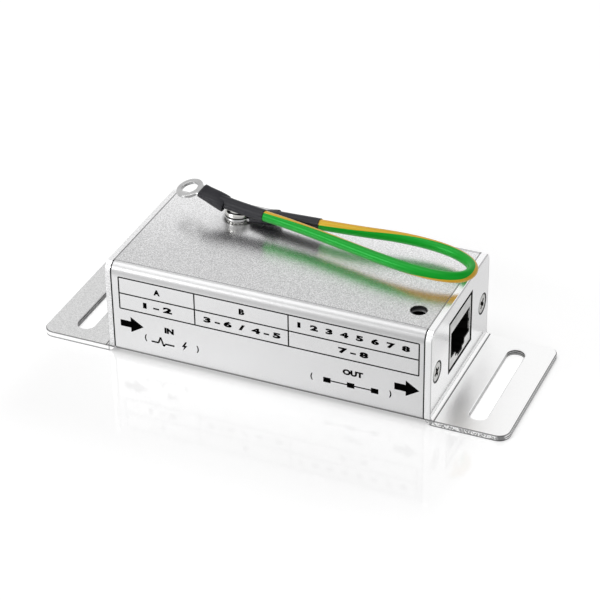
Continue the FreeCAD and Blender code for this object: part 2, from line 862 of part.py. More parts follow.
def make_ground_nut():
    body = new_body("ground_nut")
    across = "nut_width / 2"
    corner = "nut_width / 2 / cos(30)"
    outline = new_sketch(body, "XY_Plane")
    draw_outline(outline, [
        (across, f"-{corner} / 2"),
        (across, f"{corner} / 2"),
        ("0", corner),
        (f"-{across}", f"{corner} / 2"),
        (f"-{across}", f"-{corner} / 2"),
        ("0", f"-{corner}"),
    ])
    draw_circle(outline, "0", "0", "(ground_screw_width + thread_clearance) / 2")
    pad(body, outline, "nut_height", reverse=True)
    place(body, "ground_x", GROUND_Y, "housing_height - wall - strap_sheet")


# Earth lead: each end is a ring terminal with its barrel in a flattened sleeve, then a shrink tube.
# The wire's route is a list of points, chosen by hand, from one shrink tube's mouth to the other's.

WIRE_ROUTE = [
    Vector(1.7, 10.55, 29.0),
    Vector(10.0, 10.0, 29.6),
    Vector(24.1, 12.3, 29.2),
    Vector(36.1, 11.5, 28.7),
    Vector(43.4, 6.8, 28.7),
    Vector(42.7, 1.0, 28.7),
    Vector(35.6, -1.0, 28.9),
    Vector(23.9, 0.0, 29.3),
    Vector(8.1, 3.9, 29.5),
    Vector(-4.0, 6.6, 29.8),
    Vector(-11.9, 7.6, 30.1),
]
FIXED_SHRINK_LENGTH = 11.3
FREE_SHRINK_LENGTH = 11.5
FREE_BARREL_START = Vector(-30.05, 9.85, 32.75)
FREE_ROLL = 15.0
FREE_BEND = -28.0


def bent_path(points):
    """Straight runs joined by tangent arcs, each as large as its two runs allow."""
    edges = []
    start = points[0]
    for before, corner, after in zip(points, points[1:], points[2:]):
        arriving = (corner - before).normalize()
        leaving = (after - corner).normalize()
        half_turn = arriving.getAngle(leaving) / 2
        setback = 0.45 * min((corner - before).Length, (after - corner).Length)
        radius = setback / math.tan(half_turn)
        print(f"turn {math.degrees(2 * half_turn):.1f} degrees, radius {radius:.2f}")
        inward = (leaving - arriving).normalize()
        arc_start = corner - arriving * setback
        arc_middle = corner + inward * (radius / math.cos(half_turn) - radius)
        arc_end = corner + leaving * setback
        edges.append(Part.LineSegment(start, arc_start).toShape())
        edges.append(Part.Arc(arc_start, arc_middle, arc_end).toShape())
        start = arc_end
    edges.append(Part.LineSegment(start, points[-1]).toShape())
    return Part.Wire(edges)


def add_tube(label, points, width):
    """A round solid along a bent path."""
    path = bent_path(points)
    radius = value(width) / 2
    circle = Part.Circle(points[0], points[1] - points[0], radius)
    tube = path.makePipeShell([Part.Wire(circle.toShape())], True, True)
    expected = math.pi * radius ** 2 * path.Length
    print(f"{label}: length {path.Length:.2f}, volume {tube.Volume:.2f} against {expected:.2f}")
    feature = doc.addObject("Part::Feature", label)
    feature.Label = label
    feature.Shape = tube
    SUBPARTS.append(feature)


def make_ring_terminal(label, frame, bend):
    """Ring and neck in the plane z = 0 with the ring's centre at the origin, the barrel bent up after it."""
    body = new_body(label)
    flat = new_sketch(body, "XY_Plane", "-ring_sheet / 2")
    draw_circle(flat, "0", "0", "ring_width / 2")
    pad(body, flat, "ring_sheet")
    neck = new_sketch(body, "XY_Plane", "-ring_sheet / 2")
    draw_rectangle(neck, "ring_width / 4", "ring_reach", "-ring_neck_width / 2", "ring_neck_width / 2")
    pad(body, neck, "ring_sheet")
    hole = new_sketch(body, "XY_Plane")
    draw_circle(hole, "0", "0", "ring_hole / 2")
    pocket(body, hole, "ring_sheet * 2", both_ways=True)

    # neck and barrel beyond the bend, drawn on planes tilted about the end of the flat neck
    knee = Vector(value("ring_reach"), 0, 0)
    tilt = Rotation(Vector(0, 1, 0), -bend)
    tongue = body.newObject("Sketcher::SketchObject", "Sketch")
    tongue.AttachmentSupport = [(origin_feature(body, "XY_Plane"), "")]
    tongue.MapMode = "FlatFace"
    tongue.AttachmentOffset = Placement(knee, tilt)
    tongue.setExpression(".AttachmentOffset.Base.x", bound("ring_reach"))
    draw_rectangle(tongue, "0", "barrel_start + 1", "-ring_neck_width / 2", "ring_neck_width / 2")
    pad(body, tongue, "ring_sheet", both_ways=True)
    knuckle = new_sketch(body, "XZ_Plane")
    draw_circle(knuckle, "ring_reach", "0", "ring_sheet / 2")
    pad(body, knuckle, "ring_neck_width", both_ways=True)

    barrel = body.newObject("Sketcher::SketchObject", "Sketch")
    barrel.AttachmentSupport = [(origin_feature(body, "XY_Plane"), "")]
    barrel.MapMode = "FlatFace"
    upright = tilt.multiply(Rotation(Vector(0, 1, 0), 90))
    axis_start = knee + tilt.multVec(Vector(value("barrel_start"), 0, value("barrel_rise")))
    barrel.AttachmentOffset = Placement(axis_start, upright)
    draw_circle(barrel, "0", "0", "barrel_radius")
    pad(body, barrel, "barrel_length")
    bore = body.newObject("Sketcher::SketchObject", "Sketch")
    bore.AttachmentSupport = [(origin_feature(body, "XY_Plane"), "")]
    bore.MapMode = "FlatFace"
    bore.AttachmentOffset = Placement(axis_start, upright)
    draw_circle(bore, "0", "0", "barrel_bore")
    pocket(body, bore, "barrel_length", reverse=True)
    body.Placement = frame


def eight_sided(width, height, middle, corner):
    """A rectangle about the y axis with its corners cut."""
    across, up = f"{width} / 2", f"{height} / 2"
    return [
        (f"{across} - {corner}", f"{middle} - {up}"), (across, f"{middle} - {up} + {corner}"),
        (across, f"{middle} + {up} - {corner}"), (f"{across} - {corner}", f"{middle} + {up}"),
        (f"-{across} + {corner}", f"{middle} + {up}"), (f"-{across}", f"{middle} + {up} - {corner}"),
        (f"-{across}", f"{middle} - {up} + {corner}"), (f"-{across} + {corner}", f"{middle} - {up}"),
    ]


def make_terminal_sleeve(label, frame):
    """Flattened over the neck and fuller at its mouth. The barrel's axis is the x axis."""
    body = new_body(label)
    flat = new_sketch(body, "YZ_Plane", "sleeve_start")
    draw_outline(flat, eight_sided("sleeve_flat_width", "sleeve_flat_height",
                                   "(-sleeve_flat_drop)", "sleeve_flat_corner"))
    mouth = new_sketch(body, "YZ_Plane", "sleeve_length")
    draw_outline(mouth, eight_sided("sleeve_end_width", "sleeve_end_height", "0", "sleeve_end_corner"))
    loft = body.newObject("PartDesign::AdditiveLoft", "Loft")
    loft.Profile = flat
    loft.Sections = [mouth]
    doc.recompute()

    bore = new_sketch(body, "YZ_Plane", "sleeve_length")
    draw_circle(bore, "0", "0", "shrink_width / 2 + sleeve_clearance")
    pocket(body, bore, "sleeve_length - barrel_start - barrel_length + sleeve_clearance")
    inner = new_sketch(body, "YZ_Plane", "sleeve_length")
    draw_circle(inner, "0", "0", "barrel_radius + sleeve_clearance")
    pocket(body, inner, "sleeve_length - barrel_start + sleeve_clearance")
    neck = new_sketch(body, "YZ_Plane")
    half = "(ring_neck_width / 2 + sleeve_clearance)"
    low = "-barrel_rise - ring_sheet / 2 - sleeve_clearance"
    high = "-barrel_rise + ring_sheet / 2 + sleeve_clearance"
    draw_rectangle(neck, f"-{half}", half, low, high)
    pocket(body, neck, "barrel_start + 1 + sleeve_clearance", reverse=True)
    body.Placement = frame


def make_lead_end(name, ring_frame, bend, mouth, toward, shrink_length):
    """Terminal, sleeve and shrink tube of one end. The shrink tube ends at the wire's mouth."""
    make_ring_terminal(f"{name}_ring_terminal", ring_frame, bend)
    tilt = Rotation(Vector(0, 1, 0), -bend)
    knee = Vector(value("ring_reach"), 0, 0)
    rise = tilt.multVec(Vector(0, 0, value("barrel_rise")))
    barrel_frame = ring_frame.multiply(Placement(knee + rise, tilt))
    make_terminal_sleeve(f"{name}_terminal_sleeve", barrel_frame)
    barrel_end = barrel_frame.multVec(Vector(value("barrel_start + barrel_length + sleeve_clearance"), 0, 0))
    corner = mouth - (toward - mouth).normalize() * shrink_length
    add_tube(f"{name}_shrink_tube", [barrel_end, corner, mouth], "shrink_width")


def make_fixed_end():
    """The ring lies flat on the washer, and the barrel rises towards the shrink tube."""
    mouth, toward = WIRE_ROUTE[0], WIRE_ROUTE[1]
    corner = mouth - (toward - mouth).normalize() * FIXED_SHRINK_LENGTH
    centre = Vector(value("ground_x"), value(GROUND_Y), value("housing_height + washer_thickness + ring_sheet / 2"))
    level = corner - centre
    yaw = math.degrees(math.atan2(level.y, level.x))
    reach = math.hypot(level.x, level.y) - value("ring_reach")
    bend = math.degrees(math.atan2(level.z - value("barrel_rise"), reach))
    frame = Placement(centre, Rotation(Vector(0, 0, 1), yaw))
    make_lead_end("fixed", frame, bend, mouth, toward, FIXED_SHRINK_LENGTH)


def make_free_end():
    """The loose end crosses over the fixed one, its ring hanging down from the sleeve."""
    mouth, toward = WIRE_ROUTE[-1], WIRE_ROUTE[-2]
    corner = mouth - (toward - mouth).normalize() * FREE_SHRINK_LENGTH
    axis = (corner - FREE_BARREL_START).normalize()
    along = Rotation(Vector(1, 0, 0), axis)
    barrel = Placement(FREE_BARREL_START, along.multiply(Rotation(Vector(1, 0, 0), FREE_ROLL)))
    tilt = Rotation(Vector(0, 1, 0), -FREE_BEND)
    knee = Vector(value("ring_reach"), 0, 0)
    rise = tilt.multVec(Vector(0, 0, value("barrel_rise")))
    frame = barrel.multiply(Placement(knee + rise, tilt).inverse())
    make_lead_end("free", frame, FREE_BEND, mouth, toward, FREE_SHRINK_LENGTH)


# Everything is made, checked and written

make_housing()
for place_name, end_sign in (("out", ""), ("in", "-")):
    make_end_plate(f"end_plate_{place_name}", end_sign)
    make_jack_shield(f"jack_{place_name}_shield", end_sign)
    make_jack_body(f"jack_{place_name}_body", end_sign)
    make_jack_contacts(f"jack_{place_name}_contacts", end_sign)
make_plate_screws()
make_board()
make_discharge_tubes()
make_resistors()
make_diodes()
make_ground_screw()
make_lock_washer()
make_earth_strap()
make_ground_nut()
make_fixed_end()
add_tube("ground_wire", WIRE_ROUTE, "wire_width")
make_free_end()
doc.recompute()

for item in doc.Objects:
    if "Invalid" in item.State or "Error" in item.State:
        raise ValueError(f"{item.Label}: {item.State}")
for item in SUBPARTS:
    if item.Shape.isNull() or not item.Shape.isValid():
        raise ValueError(f"{item.Label}: the shape is null or not valid")
for item in SUBPARTS:
    item.Shape.exportStep(os.path.join("parts", item.Label + ".step"))
    print(f"{item.Label}: {len(item.Shape.Solids)} solids, volume {item.Shape.Volume:.1f}")
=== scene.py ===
import bmesh
import bpy
import math
from mathutils import Matrix, Vector


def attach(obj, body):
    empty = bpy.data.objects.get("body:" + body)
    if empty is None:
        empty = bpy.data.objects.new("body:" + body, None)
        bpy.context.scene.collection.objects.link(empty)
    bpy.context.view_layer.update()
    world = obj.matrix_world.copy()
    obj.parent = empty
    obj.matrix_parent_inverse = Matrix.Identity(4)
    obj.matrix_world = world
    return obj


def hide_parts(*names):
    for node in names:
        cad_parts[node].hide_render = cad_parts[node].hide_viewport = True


# %% [markdown]
# # Ethernet surge protector
# A small metal box that protects a network line: an extruded aluminium housing with a bent and
# slotted plate at each end, a shielded socket in each plate, and an earth lead screwed to the top.
# Everything that is added here is in metres, in the same frame: X along the box, the printed face
# towards -Y, Z up, and the origin at the middle of the base.

# %% Load the frame
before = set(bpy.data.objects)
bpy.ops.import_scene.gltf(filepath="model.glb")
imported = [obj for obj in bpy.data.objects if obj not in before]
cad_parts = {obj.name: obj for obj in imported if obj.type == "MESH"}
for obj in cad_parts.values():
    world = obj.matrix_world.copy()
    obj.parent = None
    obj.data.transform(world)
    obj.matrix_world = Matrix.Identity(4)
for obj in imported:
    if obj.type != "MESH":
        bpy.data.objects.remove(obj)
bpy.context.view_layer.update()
MM = 0.001
print("CAD nodes:", len(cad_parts))

# %% [markdown]
# ## Camera
# A product photo is taken from well back with a long lens, so its parallel edges nearly stay
# parallel. The camera could be aimed with a constraint, but then a small roll is awkward to add.
# Here its three axes are worked out from two angles and a roll, and set as its matrix.

# %% Camera
CAMERA_AZIMUTH = math.radians(23.62)
CAMERA_ELEVATION = math.radians(32.607)
CAMERA_ROLL = math.radians(0.844)
CAMERA_DISTANCE = 569.8 * MM
CAMERA_SIDE_STEP = 0.5 * MM
CAMERA_RISE = 10.9 * MM
FOCAL_LENGTH_IN_PIXELS = 2294.2
PICTURE_WIDTH = 600


def add_camera():
    """A camera that looks at the box from the front right, a little above it."""
    level = math.cos(CAMERA_ELEVATION)
    back = Vector((
        math.sin(CAMERA_AZIMUTH) * level,
        -math.cos(CAMERA_AZIMUTH) * level,
        math.sin(CAMERA_ELEVATION),
    ))
    right = Vector((math.cos(CAMERA_AZIMUTH), math.sin(CAMERA_AZIMUTH), 0))
    up = back.cross(right)
    place = back * CAMERA_DISTANCE + right * CAMERA_SIDE_STEP + up * CAMERA_RISE
    rolled_right = right * math.cos(CAMERA_ROLL) - up * math.sin(CAMERA_ROLL)
    rolled_up = right * math.sin(CAMERA_ROLL) + up * math.cos(CAMERA_ROLL)
    data = bpy.data.cameras.new("photo_camera")
    data.sensor_width = 36
    data.lens = FOCAL_LENGTH_IN_PIXELS * data.sensor_width / PICTURE_WIDTH
    data.clip_start = 0.01
    data.clip_end = 20
    camera = bpy.data.objects.new("photo_camera", data)
    axes = Matrix((rolled_right, rolled_up, back)).transposed().to_4x4()
    camera.matrix_world = Matrix.Translation(place) @ axes
    bpy.context.scene.collection.objects.link(camera)
    bpy.context.scene.camera = camera
    return data.lens


print("camera lens in mm:", round(add_camera(), 1))

# %% [markdown]
# ## Working by hand in code
# Each new piece starts as a primitive and is shaped in edit mode, as it would be with a mouse.
# An operator acts on whatever is selected, so small helpers do the choosing: one clears the
# selection and adds a primitive, two pick faces or edges by their place, and one finishes the piece
# by moving its place into its mesh and letting it ride on the box. Modifiers are applied at once,
# because each later step works on the faces that the one before it made.

# %% Helpers for modelling
def start(primitive, **settings):
    """Deselects everything, CAD nodes too, and adds a primitive."""
    bpy.ops.object.select_all(action="DESELECT")
    getattr(bpy.ops.mesh, f"primitive_{primitive}_add")(**settings)
    return bpy.context.object


def choose_faces(test):
    """In edit mode, selects the faces whose middle and normal pass a test."""
    mesh = bmesh.from_edit_mesh(bpy.context.object.data)
    bpy.ops.mesh.select_mode(type="FACE")
    bpy.ops.mesh.select_all(action="DESELECT")
    for face in mesh.faces:
        if test(face.calc_center_median(), face.normal):
            face.select_set(True)
    bmesh.update_edit_mesh(bpy.context.object.data)


def choose_edges(test):
    """In edit mode, selects the edges whose two ends pass a test."""
    mesh = bmesh.from_edit_mesh(bpy.context.object.data)
    bpy.ops.mesh.select_mode(type="EDGE")
    bpy.ops.mesh.select_all(action="DESELECT")
    for edge in mesh.edges:
        if test(edge.verts[0].co, edge.verts[1].co):
            edge.select_set(True)
    bmesh.update_edit_mesh(bpy.context.object.data)


def extrude(x, y, z):
    bpy.ops.mesh.extrude_region_move(TRANSFORM_OT_translate={"value": (x, y, z)})


def select_only(pieces):
    bpy.ops.object.select_all(action="DESELECT")
    for piece in pieces:
        piece.select_set(True)
    bpy.context.view_layer.objects.active = pieces[0]


def apply_place(piece):
    """Moves the object's place, turn and scale into its mesh."""
    select_only([piece])
    bpy.ops.object.transform_apply(location=True, rotation=True, scale=True)


def add_modifier(piece, kind, **settings):
    """Adds a modifier and applies it at once."""
    bpy.context.view_layer.objects.active = piece
    made = piece.modifiers.new(kind.title(), kind)
    for name, setting in settings.items():
        setattr(made, name, setting)
    bpy.ops.object.modifier_apply(modifier=made.name)


def cut_with(piece, cutter):
    """Subtracts a cutter and throws it away."""
    add_modifier(piece, "BOOLEAN", operation="DIFFERENCE", object=cutter, solver="EXACT")
    bpy.data.objects.remove(cutter)


def break_edges(piece, width, sharp_angle=38):
    """Takes the edge off every corner sharper than an angle in degrees."""
    add_modifier(
        piece, "BEVEL", width=width, segments=2, limit_method="ANGLE",
        angle_limit=math.radians(sharp_angle),
    )


def join(pieces):
    select_only(pieces)
    bpy.ops.object.join()
    return pieces[0]


def finish_piece(piece, name, frame_matrix=None, sharp_angle=35):
    """Names the piece, puts it in its place and smooths what isn't a sharp edge."""
    apply_place(piece)
    if frame_matrix is not None:
        piece.data.transform(frame_matrix)
    piece.name = name
    piece.data.name = name
    bpy.ops.object.shade_smooth_by_angle(angle=math.radians(sharp_angle))
    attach(piece, "root")
    print(name, "faces:", len(piece.data.polygons))
    return piece


def box(x, y, z, low, high):
    """A cube between two corners, given in millimetres about a middle."""
    size = [(b - a) * MM for a, b in zip(low, high)]
    middle = [(b + a) / 2 * MM + c * MM for a, b, c in zip(low, high, (x, y, z))]
    piece = start("cube", size=1, location=middle, scale=size)
    apply_place(piece)
    return piece


print("modelling helpers ready")

# %% [markdown]
# ## Earth lead
# The lead is a stiff insulated wire about a hand's width long, bent into a loop that stands just
# clear of the top. Only one end is held, under the screw, and the other lies across it. A bevelled
# curve is the natural way to make it: the few control points are where a hand would push the wire,
# and the round section follows by itself. The smooth NURBS line stays inside the points' corners.

# %% Wire
WIRE_WIDTH = 2.7 * MM
BEVEL_RESOLUTION = 32
WIRE_ROUTE_MM = [
    (1.7, 10.55, 29.0),
    (10.0, 10.0, 29.6),
    (24.1, 12.3, 29.2),
    (36.1, 11.5, 28.7),
    (43.4, 6.8, 28.7),
    (42.7, 1.0, 28.7),
    (35.6, -1.0, 28.9),
    (23.9, 0.0, 29.3),
    (8.1, 3.9, 29.5),
    (-4.0, 6.6, 29.8),
    (-11.9, 7.6, 30.1),
]
WIRE_ROUTE = [Vector(point) * MM for point in WIRE_ROUTE_MM]


def smooth_curve(name, points):
    """A NURBS curve that starts at its first point and ends at its last."""
    curve = bpy.data.curves.new(name, "CURVE")
    curve.dimensions = "3D"
    spline = curve.splines.new("NURBS")
    spline.points.add(len(points) - 1)
    for point, place in zip(spline.points, points):
        point.co = (*place, 1)
    spline.order_u = 3
    spline.use_endpoint_u = True
    spline.resolution_u = 16
    return curve


def smooth_line(name, points, width):
    """A round tube on a smooth curve.

    Each point's radius is the tube's own, and scales a bevel of one metre, because an object's
    bounding box counts the points' radii as they are written.
    """
    curve = smooth_curve(name, points)
    for point in curve.splines[0].points:
        point.radius = width / 2
    curve.bevel_depth = 1.0
    curve.bevel_resolution = BEVEL_RESOLUTION
    curve.use_fill_caps = True
    curve.twist_mode = "Z_UP"
    tube = bpy.data.objects.new(name, curve)
    bpy.context.scene.collection.objects.link(tube)
    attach(tube, "root")
    return tube


def line_length(points):
    """Length of the smooth line, measured on a copy with no section."""
    curve = smooth_curve("measure", points)
    holder = bpy.data.objects.new("measure", curve)
    mesh = bpy.data.meshes.new_from_object(holder)
    length = sum((mesh.vertices[a].co - mesh.vertices[b].co).length for a, b in mesh.edge_keys)
    bpy.data.meshes.remove(mesh)
    bpy.data.objects.remove(holder)
    bpy.data.curves.remove(curve)
    return length


wire_length = line_length(WIRE_ROUTE)
wire = smooth_line("earth_wire", WIRE_ROUTE, WIRE_WIDTH)
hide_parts("ground_wire")
print("wire length in mm:", round(wire_length / MM, 1))

# %% [markdown]
# ## Ends of the lead
# Each end is a tinned ring terminal crimped on the wire, with a flattened sleeve over its barrel
# and a shrink tube where the wire goes in. Both ends are the same parts, so each part is modelled
# once, lying at the origin with its barrel along X, and a matrix puts each copy in its place.
# The fixed end's matrix follows from the screw and the wire's first points. The free end lies
# across the other, turned a little about its own barrel, and its ring hangs down from the bend.

# %% Places of the two ends
EARTH_X, EARTH_Y = -20.85, 11.5
RING_REACH = 3.6
RING_SHEET = 0.8
BARREL_RISE = 0.75
BARREL_END = 5.55
SHRINK_WIDTH = 3.1
FIXED_SHRINK_LENGTH = 11.3
FREE_SHRINK_LENGTH = 11.5
GROUND_POINT = Vector((EARTH_X, EARTH_Y, 26.4))
FREE_BARREL_START = Vector((-30.05, 9.85, 32.75))
FREE_BEND = math.radians(-28)
FREE_ROLL = math.radians(15)


def turn(angle, axis):
    return Matrix.Rotation(angle, 4, axis)


def shrink_corner(mouth, toward, length):
    """Where the shrink tube bends: straight back from the wire's mouth."""
    return mouth - (toward - mouth).normalized() * length


ROUTE_MM = [Vector(point) for point in WIRE_ROUTE_MM]
fixed_corner = shrink_corner(ROUTE_MM[0], ROUTE_MM[1], FIXED_SHRINK_LENGTH)
free_corner = shrink_corner(ROUTE_MM[-1], ROUTE_MM[-2], FREE_SHRINK_LENGTH)
level = fixed_corner - GROUND_POINT
FIXED_BEND = math.atan2(level.z - BARREL_RISE, math.hypot(level.x, level.y) - RING_REACH)
fixed_ring = Matrix.Translation(GROUND_POINT) @ turn(math.atan2(level.y, level.x), "Z")
fixed_barrel = (
    fixed_ring @ Matrix.Translation((RING_REACH, 0, 0)) @ turn(-FIXED_BEND, "Y")
    @ Matrix.Translation((0, 0, BARREL_RISE))
)
along = (free_corner - FREE_BARREL_START).normalized()
aim = Vector((1, 0, 0)).rotation_difference(along).to_matrix().to_4x4()
free_barrel = Matrix.Translation(FREE_BARREL_START) @ aim @ turn(FREE_ROLL, "X")
free_ring = free_barrel @ (
    Matrix.Translation((RING_REACH, 0, 0)) @ turn(-FREE_BEND, "Y")
    @ Matrix.Translation((0, 0, BARREL_RISE))
).inverted()
to_metres = Matrix.Scale(MM, 4)
print("bend of the fixed end in degrees:", round(math.degrees(FIXED_BEND), 1))

# %% [markdown]
# ## Ring terminals
# The ring is stamped from tinned copper sheet, so its edges are slightly rounded. An inset on a
# disc's two faces gives the hole, once the two inner faces are bridged. The neck grows out of the
# disc's rim, then the tongue follows the bend, and a bevel takes the edge off everything.

# %% Ring terminal
RING_RADIUS = 3.5
RING_RIM = 1.35
NECK_HALF = 1.7
NECK_STEPS = (2.6, 0.5)


def ring_terminal(name, bend, place):
    def neck_side(middle, normal):
        return normal.x > 0.5 and middle.length > RING_RADIUS - 0.2 and abs(middle.y) < NECK_HALF

    disc = start("cylinder", vertices=64, radius=RING_RADIUS, depth=RING_SHEET)
    bpy.ops.object.mode_set(mode="EDIT")
    choose_faces(lambda middle, normal: abs(normal.z) > 0.9)
    bpy.ops.mesh.inset(thickness=RING_RIM)
    bpy.ops.mesh.bridge_edge_loops()
    choose_faces(neck_side)
    extrude(0.4, 0, 0)
    bpy.ops.transform.resize(value=(0, 1, 1), center_override=(RING_REACH, 0, 0))
    for step in NECK_STEPS:
        extrude(step * math.cos(bend), 0, step * math.sin(bend))
    bpy.ops.object.mode_set(mode="OBJECT")
    break_edges(disc, 0.11, 40)
    return finish_piece(disc, name, to_metres @ place)


fixed_terminal = ring_terminal("fixed_terminal", FIXED_BEND, fixed_ring)
free_terminal = ring_terminal("free_terminal", FREE_BEND, free_ring)
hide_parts("fixed_ring_terminal")
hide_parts("free_ring_terminal")

# %% [markdown]
# ## Terminal sleeves
# A soft black sleeve is pushed over each barrel. It is nearly round at its mouth and pressed flat
# over the neck. A short box with rounded corners makes the mouth, and its far face is extruded in
# steps that are each scaled and lowered, which is quicker to adjust than a loft between outlines.

# %% Sleeve
SLEEVE_STEPS = [
    # step along X, then the width, height and drop of the section there
    (-0.4, 4.3, 3.5, 0.22),
    (-1.6, 4.3, 3.35, 0.24),
    (-1.5, 4.25, 2.9, 0.3),
    (-1.4, 4.2, 2.35, 0.4),
    (-1.1, 4.2, 2.0, 0.47),
    (-1.2, 4.2, 1.9, 0.5),
]


def terminal_sleeve(name, place):
    mouth_x, width, height, drop = 7.5, 4.2, 3.4, 0.2
    sleeve = start("cube", size=1, location=(mouth_x - 0.05, 0, -drop), scale=(0.1, width, height))
    apply_place(sleeve)
    bpy.ops.object.mode_set(mode="EDIT")
    choose_edges(lambda a, b: abs(a.x - b.x) > 0.05)
    bpy.ops.mesh.bevel(offset=1.3, segments=5)
    x = mouth_x - 0.1
    for step, new_width, new_height, new_drop in SLEEVE_STEPS:
        choose_faces(lambda middle, normal: abs(middle.x - x) < 0.01 and abs(normal.x) > 0.9)
        extrude(step, 0, 0)
        x += step
        lowering = drop - new_drop
        bpy.ops.transform.resize(
            value=(1, new_width / width, new_height / height), center_override=(x, 0, -drop))
        bpy.ops.transform.translate(value=(0, 0, lowering))
        width, height, drop = new_width, new_height, new_drop
    choose_faces(lambda middle, normal: middle.x > mouth_x - 0.01)
    bpy.ops.mesh.inset(thickness=0.12)
    bpy.ops.mesh.inset(thickness=0.3)
    extrude(-0.9, 0, 0)
    choose_faces(lambda middle, normal: abs(middle.x - x) < 0.01)
    bpy.ops.mesh.inset(thickness=0.14)
    bpy.ops.mesh.inset(thickness=0.12)
    extrude(0.5, 0, 0)
    bpy.ops.object.mode_set(mode="OBJECT")
    add_modifier(sleeve, "SUBSURF", levels=1, render_levels=1)
    return finish_piece(sleeve, name, to_metres @ place, sharp_angle=60)


fixed_sleeve = terminal_sleeve("fixed_sleeve", fixed_barrel)
free_sleeve = terminal_sleeve("free_sleeve", free_barrel)
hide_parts("fixed_terminal_sleeve")
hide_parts("free_terminal_sleeve")

# %% [markdown]
# ## Shrink tubes
# Shrunk tube follows the wire inside it, so it is a short smooth line of its own, turned into a
# mesh. Its mouth keeps a thin lip round the wire, made by an inset of the end face.

# %% Shrink tube
def shrink_tube(name, points, node):
    tube = smooth_line(name, [point * MM for point in points], SHRINK_WIDTH * MM)
    select_only([tube])
    bpy.ops.object.convert(target="MESH")
    tube = bpy.context.object
    mouth = points[-1] * MM
    bpy.ops.object.mode_set(mode="EDIT")
    bpy.ops.mesh.select_all(action="SELECT")
    bpy.ops.mesh.remove_doubles(threshold=0.00001)
    choose_faces(lambda middle, normal: (middle - mouth).length < 0.0002)
    bpy.ops.mesh.inset(thickness=0.00012)
    bpy.ops.mesh.inset(thickness=0.00008)
    bpy.ops.object.mode_set(mode="OBJECT")
    finish_piece(tube, name, sharp_angle=50)
    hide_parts(node)
    return tube


fixed_start = fixed_barrel @ Vector((BARREL_END, 0, 0))
free_start = free_barrel @ Vector((BARREL_END, 0, 0))
shrink_tube("fixed_tube", [fixed_start, fixed_corner, ROUTE_MM[0]], "fixed_shrink_tube")
free_tube = shrink_tube("free_tube", [free_start, free_corner, ROUTE_MM[-1]], "free_shrink_tube")
print("lead finished")

# %% [markdown]
# ## Earth screw
# A screw's cross recess is a cross whose arms narrow towards the bottom. Two crossed blocks with a
# smaller bottom face make the cutter, and a Boolean takes it out of the head. The domed pan head
# comes from a wide bevel round the top of a disc, and the shank is extruded from an inset below.

# %% Cross recess
RECESS_TAPER = 0.42


def cross_cutter(width, arm, depth, top):
    """A cross that narrows downwards from its top, with room above."""
    arms = []
    for size in ((width, arm), (arm, width)):
        low = (-size[0] / 2, -size[1] / 2, -depth)
        high = (size[0] / 2, size[1] / 2, 1.0)
        block = box(0, 0, top, low, high)
        bpy.ops.object.mode_set(mode="EDIT")
        choose_faces(lambda middle, normal: normal.z < -0.9)
        floor_middle = (0, 0, (top - depth) * MM)
        bpy.ops.transform.resize(
            value=(RECESS_TAPER, RECESS_TAPER, 1), center_override=floor_middle)
        bpy.ops.object.mode_set(mode="OBJECT")
        arms.append(block)
    add_modifier(arms[0], "BOOLEAN", operation="UNION", object=arms[1], solver="EXACT")
    bpy.data.objects.remove(arms[1])
    return arms[0]


print("recess cutter ready")

# %% Pan head
HEAD_RADIUS = 3.4
HEAD_HEIGHT = 1.5
HEAD_ROUNDING = 0.7
HEAD_BASE = 26.8
SHANK_INSET = 1.5
SHANK_LENGTH = 9.4
TIP_LENGTH = 0.5


def ground_screw_head():
    head = start(
        "cylinder", vertices=72, radius=HEAD_RADIUS * MM, depth=HEAD_HEIGHT * MM,
        location=(0, 0, HEAD_HEIGHT / 2 * MM),
    )
    apply_place(head)
    bpy.ops.object.mode_set(mode="EDIT")
    choose_edges(lambda a, b: min(a.z, b.z) > (HEAD_HEIGHT - 0.1) * MM)
    bpy.ops.mesh.bevel(offset=HEAD_ROUNDING * MM, segments=8, profile=0.5)
    choose_faces(lambda middle, normal: normal.z < -0.9)
    bpy.ops.mesh.inset(thickness=SHANK_INSET * MM)
    extrude(0, 0, -SHANK_LENGTH * MM)
    bpy.ops.mesh.inset(thickness=0.4 * MM)
    extrude(0, 0, -TIP_LENGTH * MM)
    bpy.ops.object.mode_set(mode="OBJECT")
    cut_with(head, cross_cutter(4.2, 1.0, 1.2, HEAD_HEIGHT))
    break_edges(head, 0.07 * MM)
    place = Matrix.Translation((EARTH_X * MM, EARTH_Y * MM, HEAD_BASE * MM))
    return finish_piece(head, "earth_screw", place @ turn(math.radians(24), "Z"))


earth_screw = ground_screw_head()
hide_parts("ground_screw")

# %% [markdown]
# ## Toothed washer
# The washer bites into the anodised skin so that the lead meets bare metal. It is a flat ring whose
# rim is cut into teeth, set up and down in turn. Faces of the rim are picked by their angle about
# the middle and pushed outwards, which needs no pattern modifier for a dozen small steps.

# %% Toothed washer
WASHER_RADIUS = 3.3
WASHER_SHEET = 0.42
WASHER_BASE = 25.5
TOOTH_PITCH = 30
TOOTH_ARCS = [
    # which way the tooth is set, then the angles where it starts and ends in its pitch
    (-1, 17, 28),
    (1, 2, 13),
]


